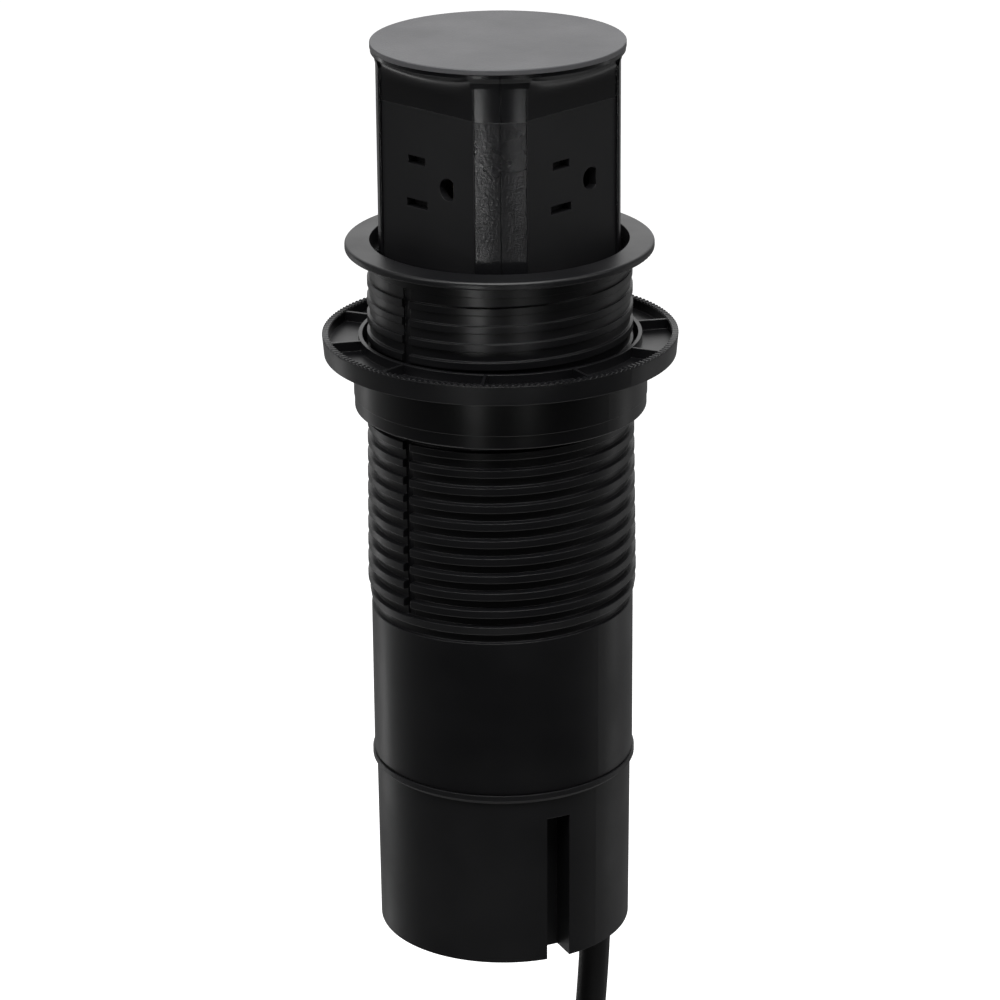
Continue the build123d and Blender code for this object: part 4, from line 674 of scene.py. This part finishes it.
# %% Screw shapes
SCREW_AROUND = 28
THREAD_PITCH = 1.25
THREAD_ROW = 0.14
THREAD_START = -0.3
THREAD_DEPTH_SHARE = 0.24
THREAD_FLANK = 0.8
TIP_LENGTH = 0.8
HEAD_SHARES = ((1.0, 0.55), (0.93, 0.78), (0.7, 0.94), (0.4, 1.0), (0.0, 1.0))
TIP_SHARES = ((0.5, 0.72), (0.0, 0.4))
RECESS_RISE = 0.2
RECESS_ARM_SHARE = 0.52
RECESS_HALF_SHARE = 0.13
RECESS_FOOT_SHARE = 0.55
RECESS_FLOOR_SHARE = 0.3


def lathe(name, rows):
    """A closed round body from rows of (height, radius) in millimetres.

    A radius is a number, or a function that gives it at an angle.
    """
    points = []
    faces = []
    for height, radius in rows:
        for index in range(SCREW_AROUND):
            angle = math.tau * index / SCREW_AROUND
            reach = radius(angle) if callable(radius) else radius
            points.append((reach * math.cos(angle) * MM, reach * math.sin(angle) * MM, height * MM))
    for level in range(len(rows) - 1):
        for index in range(SCREW_AROUND):
            after = (index + 1) % SCREW_AROUND
            low = level * SCREW_AROUND
            faces.append((low + index, low + SCREW_AROUND + index, low + SCREW_AROUND + after, low + after))
    faces.append(tuple(range(SCREW_AROUND)))
    faces.append(tuple(range((len(rows) - 1) * SCREW_AROUND, len(rows) * SCREW_AROUND))[::-1])
    return mesh_object(name, points, faces)


def screw_rows(radius, head_radius, head_height, length):
    """Rows of a screw whose head's underside is at zero and whose shank goes down."""
    rows = [(head_height * up, head_radius * out) for up, out in HEAD_SHARES]
    rows.append((0.0, radius))
    depth = radius * THREAD_DEPTH_SHARE
    height = THREAD_START
    while height > TIP_LENGTH - length:

        def groove(angle, height=height):
            wave = (height / THREAD_PITCH + angle / math.tau) % 1.0
            return radius - depth * (1 - abs(2 * wave - 1)) ** THREAD_FLANK

        rows.append((height, groove))
        height -= THREAD_ROW
    rows += [(up - length, radius * out) for up, out in TIP_SHARES]
    return rows


def cross_tool(head_radius, head_height):
    """A tapered cross that is sunk in a head."""
    arm = head_radius * RECESS_ARM_SHARE
    half = head_radius * RECESS_HALF_SHARE
    floor = head_height * RECESS_FLOOR_SHARE
    shape = [(half, arm), (half, half), (arm, half), (arm, -half), (half, -half), (half, -arm)]
    shape += [(-x, -y) for x, y in shape]
    points = [(x * MM, y * MM, (head_height + RECESS_RISE) * MM) for x, y in shape]
    points += [(x * RECESS_FOOT_SHARE * MM, y * RECESS_FOOT_SHARE * MM, floor * MM) for x, y in shape]
    count = len(shape)
    faces = []
    for index in range(count):
        after = (index + 1) % count
        faces.append((index, after, after + count, index + count))
    faces += [tuple(range(count))[::-1], tuple(range(count, 2 * count))]
    tool = mesh_object("cross_tool", points, faces, smooth=False)
    turn_faces_out(tool.data)
    return tool


def cut(piece, tool):
    """Takes one piece away from another and keeps the result as a plain mesh."""
    modifier = piece.modifiers.new("cut", "BOOLEAN")
    modifier.operation = "DIFFERENCE"
    modifier.solver = "EXACT"
    modifier.object = tool
    keep_result(piece, modifier)
    bpy.data.objects.remove(tool)


print("rows of a 9 mm screw", len(screw_rows(1.4, 2.6, 1.8, 9.0)))

# %% [markdown]
# Screw groups
#
# Screws of one kind share a node, so each group is one piece too. One screw is made, and
# a copy of its mesh goes to each place, turned a little further each time, because no two
# screws are ever driven to the same angle.

# %% Screw groups
FIRST_TWIST = 0.4
TWIST_STEP = 1.3
SCREW_SHARP = math.radians(40)


def screws(node, places, seat, up, size, body):
    """A group of screws in place of the solids' node; up is 1 where the heads point up."""
    radius, head_radius, head_height, length = size
    master = lathe(node + "_detail", screw_rows(radius, head_radius, head_height, length))
    turn_faces_out(master.data)
    cut(master, cross_tool(head_radius, head_height))
    flip = Matrix.Identity(4) if up > 0 else Matrix.Rotation(math.pi, 4, "X")
    joined = bmesh.new()
    for number, (x, y) in enumerate(places):
        copy = master.data.copy()
        twist = Matrix.Rotation(FIRST_TWIST + TWIST_STEP * number, 4, "Z")
        copy.transform(Matrix.Translation((x * MM, y * MM, seat * MM)) @ flip @ twist)
        joined.from_mesh(copy)
        bpy.data.meshes.remove(copy)
    joined.to_mesh(master.data)
    joined.free()
    for polygon in master.data.polygons:
        polygon.use_smooth = True
    master.data.set_sharp_from_angle(angle=SCREW_SHARP)
    master.data.materials.clear()
    master.data.materials.append(zinc)
    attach(master, body)
    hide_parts(node)
    return master


def on_circle(radius, angles):
    """Plan places at one radius."""
    return [(radius * math.cos(math.radians(a)), radius * math.sin(math.radians(a))) for a in angles]


# A size is the shank's radius, the head's radius and height, and the length.
SMALL = (1.4, 2.6, 1.8, 9.0)
LONG = (1.4, 2.6, 1.8, 19.0)
STOUT = (1.6, 3.0, 2.0, 14.2)
COVER_SEAT = -190.0
PLATE_SEAT = -146.0
CARRIER_SEAT = -3.0
CAP_SEAT = 57.0
CARRIAGE_SEAT = -26.2

posts = on_circle(24.0, (90, 200, 290))
columns = on_circle(29.0, (45, 225))
middles = on_circle(23.5, (90, -90))
groups = [
    screws("cover_screws", posts, COVER_SEAT, -1, SMALL, "base"),
    screws("plate_screws", posts, PLATE_SEAT, 1, SMALL, "base"),
    screws("carrier_screws", columns, CARRIER_SEAT, 1, SMALL, "turret"),
    screws("cap_screws", columns, CAP_SEAT, 1, LONG, "turret"),
    screws("turret_screws", columns + middles, CARRIAGE_SEAT, -1, STOUT, "turret"),
]
print("screw groups", len(groups), "faces", sum(len(group.data.polygons) for group in groups))

# %% [markdown]
# Parting line
#
# The turret's halves meet with a hairline gap on two corners. Real halves have a tongue
# inside the joint that lines them up, and it also stops the light. The solids leave it
# out, so a thin rod is set into the walls across each gap, as a skin over two circles.

# %% Seam tongues
TONGUE_PLACE = 33.8
TONGUE_RADIUS = 0.7
TONGUE_BOTTOM = -10.0
TONGUE_TOP = 59.2
CORNERS = (("front", math.radians(-45)), ("back", math.radians(135)))

tongue_ends = [round_section(TONGUE_BOTTOM, TONGUE_RADIUS), round_section(TONGUE_TOP, TONGUE_RADIUS)]
for corner, bearing in CORNERS:
    place = (TONGUE_PLACE * math.cos(bearing), TONGUE_PLACE * math.sin(bearing))
    tongue = skin("seam_tongue_" + corner, place, tongue_ends)
    tongue.data.materials.append(column_black)
    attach(tongue, "turret")
    print(tongue.name, "faces", len(tongue.data.polygons))

# %% [markdown]
# Springs and the service lead
#
# The lift spring and the coiled lead shorten as the turret goes down, and each shutter has
# a small spring of its own. Their coils are solids already, so each gets a copy of its
# solid's mesh, on its body and in place of the solid, instead of a new one.


def shortening(node, body):
    """A copy of a solid's mesh on the given body, in place of the solid."""
    solid = bpy.data.objects[node]
    piece = bpy.data.objects.new(node + "_moving", solid.data.copy())
    scene.collection.objects.link(piece)
    piece.matrix_world = solid.matrix_world
    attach(piece, body)
    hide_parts(node)
    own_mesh(piece)


shortening("lift_spring", "base")
shortening("service_lead", "base")
for side in SIDES:
    spring_node = "shutter_spring_" + side
    shortening(spring_node, "turret")

# %% [markdown]
# Surround
#
# The photograph is a packshot on white, where a black object shows little but its
# reflections. An even white surround would fog all the blacks. So the camera sees plain
# white, and the object sees three soft parts: a dim room, a pale wall behind it that gives
# the pale rims along the silhouette, and a pale floor that lights the coves from below.
# Each part is a level that rises as the looked-at direction turns towards its middle.

# %% Surround
ROOM_LEVEL = 0.03
SIDE_LEVEL = 0.22
FLOOR_LEVEL = 0.9
WALL_LEVEL = 0.8
WALL_RISE = math.radians(25)
WHITE = (1, 1, 1, 1)

scene.view_settings.view_transform = "Standard"
world = bpy.data.worlds.new("white_studio")
world.use_nodes = True
scene.world = world
surround_tree = world.node_tree
surround_tree.nodes.clear()
rays = add_node(surround_tree, "ShaderNodeLightPath")
looking = add_node(surround_tree, "ShaderNodeTexCoord")


def toward(direction, start, end, low, high):
    """A level that rises smoothly as the looked-at direction turns towards another."""
    along = add_node(
        surround_tree,
        "ShaderNodeVectorMath",
        {0: looking.outputs["Generated"], 1: direction},
        operation="DOT_PRODUCT",
    )
    return add_node(
        surround_tree,
        "ShaderNodeMapRange",
        {"Value": along.outputs["Value"], "From Min": start, "From Max": end, "To Min": low, "To Max": high},
        interpolation_type="SMOOTHSTEP",
    )


wall_middle = -away * math.cos(WALL_RISE) + Vector((0, 0, math.sin(WALL_RISE)))
room = toward(tuple(-away), -0.5, 0.6, ROOM_LEVEL, SIDE_LEVEL)
pale_floor = toward((0, 0, -1), 0.65, 0.95, 0.0, FLOOR_LEVEL)
pale_wall = toward(tuple(wall_middle), 0.75, 0.98, 0.0, WALL_LEVEL)
level = room.outputs["Result"]
for part in (pale_floor, pale_wall):
    total = add_node(surround_tree, "ShaderNodeMath", {0: level, 1: part.outputs["Result"]}, operation="ADD")
    level = total.outputs["Value"]
seen = add_node(surround_tree, "ShaderNodeBackground", {"Color": WHITE, "Strength": 1.0})
surround = add_node(surround_tree, "ShaderNodeBackground", {"Color": WHITE, "Strength": level})
either = add_node(
    surround_tree,
    "ShaderNodeMixShader",
    {0: rays.outputs["Is Camera Ray"], 1: surround.outputs["Background"], 2: seen.outputs["Background"]},
)
add_node(surround_tree, "ShaderNodeOutputWorld", {"Surface": either.outputs["Shader"]})
print("surround nodes", len(surround_tree.nodes))

# %% [markdown]
# Lamps
#
# Two low strips behind the object draw a thin bright line down each side, two boxes give
# the wider soft sheen beside it, and the top and front boxes light the lid, the flange and
# the disc. Two small panels with a narrow beam stand low in front, where the upright
# faces of the turret mirror them, so that its grained column and its gloss cap show.

# %% Lamps
MIDDLE_AIM = (0, 0, -0.06)
TURRET_AIM = (0, 0, 0.042)
WIDE_BEAM = 180
NARROW_BEAM = 11


def soft_box(name, bearing, height, distance, size, power, aim=MIDDLE_AIM, beam=WIDE_BEAM):
    """A rectangular lamp placed by its bearing from the camera's side, aimed at the object."""
    data = bpy.data.lights.new(name, "AREA")
    data.shape = "RECTANGLE"
    data.size, data.size_y = size
    data.energy = power
    data.spread = math.radians(beam)
    lamp = bpy.data.objects.new(name, data)
    angle = CAMERA_AZIMUTH + math.radians(bearing)
    lamp.location = (distance * math.cos(angle), distance * math.sin(angle), height)
    lamp.rotation_mode = "QUATERNION"
    lamp.rotation_quaternion = (Vector(aim) - lamp.location).to_track_quat("-Z", "Y")
    scene.collection.objects.link(lamp)


soft_box("strip_left", -130, -0.35, 1.0, (0.1, 1.0), 0.6)
soft_box("strip_right", 112, -0.35, 1.0, (0.1, 1.0), 0.25)
soft_box("box_left", -62, 0.6, 1.0, (0.5, 0.8), 2.0)
soft_box("box_right", 66, 0.6, 1.0, (0.5, 0.8), 1.7)
soft_box("box_top", 10, 1.1, 0.2, (0.7, 0.7), 7.5)
soft_box("box_front", -4, 1.1, 0.7, (1.4, 0.3), 12.0)
soft_box("panel_left", -19, -0.17, 0.6, (0.04, 0.08), 0.0017, TURRET_AIM, NARROW_BEAM)
soft_box("panel_right", 19, -0.17, 0.6, (0.04, 0.08), 0.0008, TURRET_AIM, NARROW_BEAM)

# %% [markdown]
# Floor
#
# A plain pale floor under the hank. It is matt and also glows, so that it runs into the
# white behind it and still keeps the object's shadow. It is left out of reflections, where
# the surround already stands for it, and it is clear from below, so that the object can be
# looked at from there too.

# %% Floor
FLOOR_HEIGHT = -505.6 * MM
FLOOR_REACH = 8.0
FLOOR_TONE = 0.8
FLOOR_GLOW = 0.88

floor_corners = ((-1, -1), (1, -1), (1, 1), (-1, 1))
floor_mesh = bpy.data.meshes.new("studio_floor")
floor_mesh.from_pydata(
    [(FLOOR_REACH * x, FLOOR_REACH * y, FLOOR_HEIGHT) for x, y in floor_corners],
    [],
    [(0, 1, 2, 3)],
)
studio_floor = bpy.data.objects.new("studio_floor", floor_mesh)
scene.collection.objects.link(studio_floor)
studio_floor.visible_diffuse = False
studio_floor.visible_glossy = False
studio_floor.visible_transmission = False
studio_floor.visible_shadow = False

pale = bpy.data.materials.new("floor_pale")
pale.use_nodes = True
floor_tree = pale.node_tree
floor_tree.nodes.clear()
matt = add_node(floor_tree, "ShaderNodeBsdfDiffuse", {"Color": (FLOOR_TONE, FLOOR_TONE, FLOOR_TONE, 1)})
glow = add_node(floor_tree, "ShaderNodeEmission", {"Color": WHITE, "Strength": FLOOR_GLOW})
both = add_node(floor_tree, "ShaderNodeAddShader", {0: matt.outputs["BSDF"], 1: glow.outputs["Emission"]})
underside = add_node(floor_tree, "ShaderNodeNewGeometry")
clear = add_node(floor_tree, "ShaderNodeBsdfTransparent", {"Color": WHITE})
from_above = add_node(
    floor_tree,
    "ShaderNodeMixShader",
    {0: underside.outputs["Backfacing"], 1: both.outputs["Shader"], 2: clear.outputs["BSDF"]},
)
add_node(floor_tree, "ShaderNodeOutputMaterial", {"Surface": from_above.outputs["Shader"]})
floor_mesh.materials.append(pale)
print("floor at", FLOOR_HEIGHT)
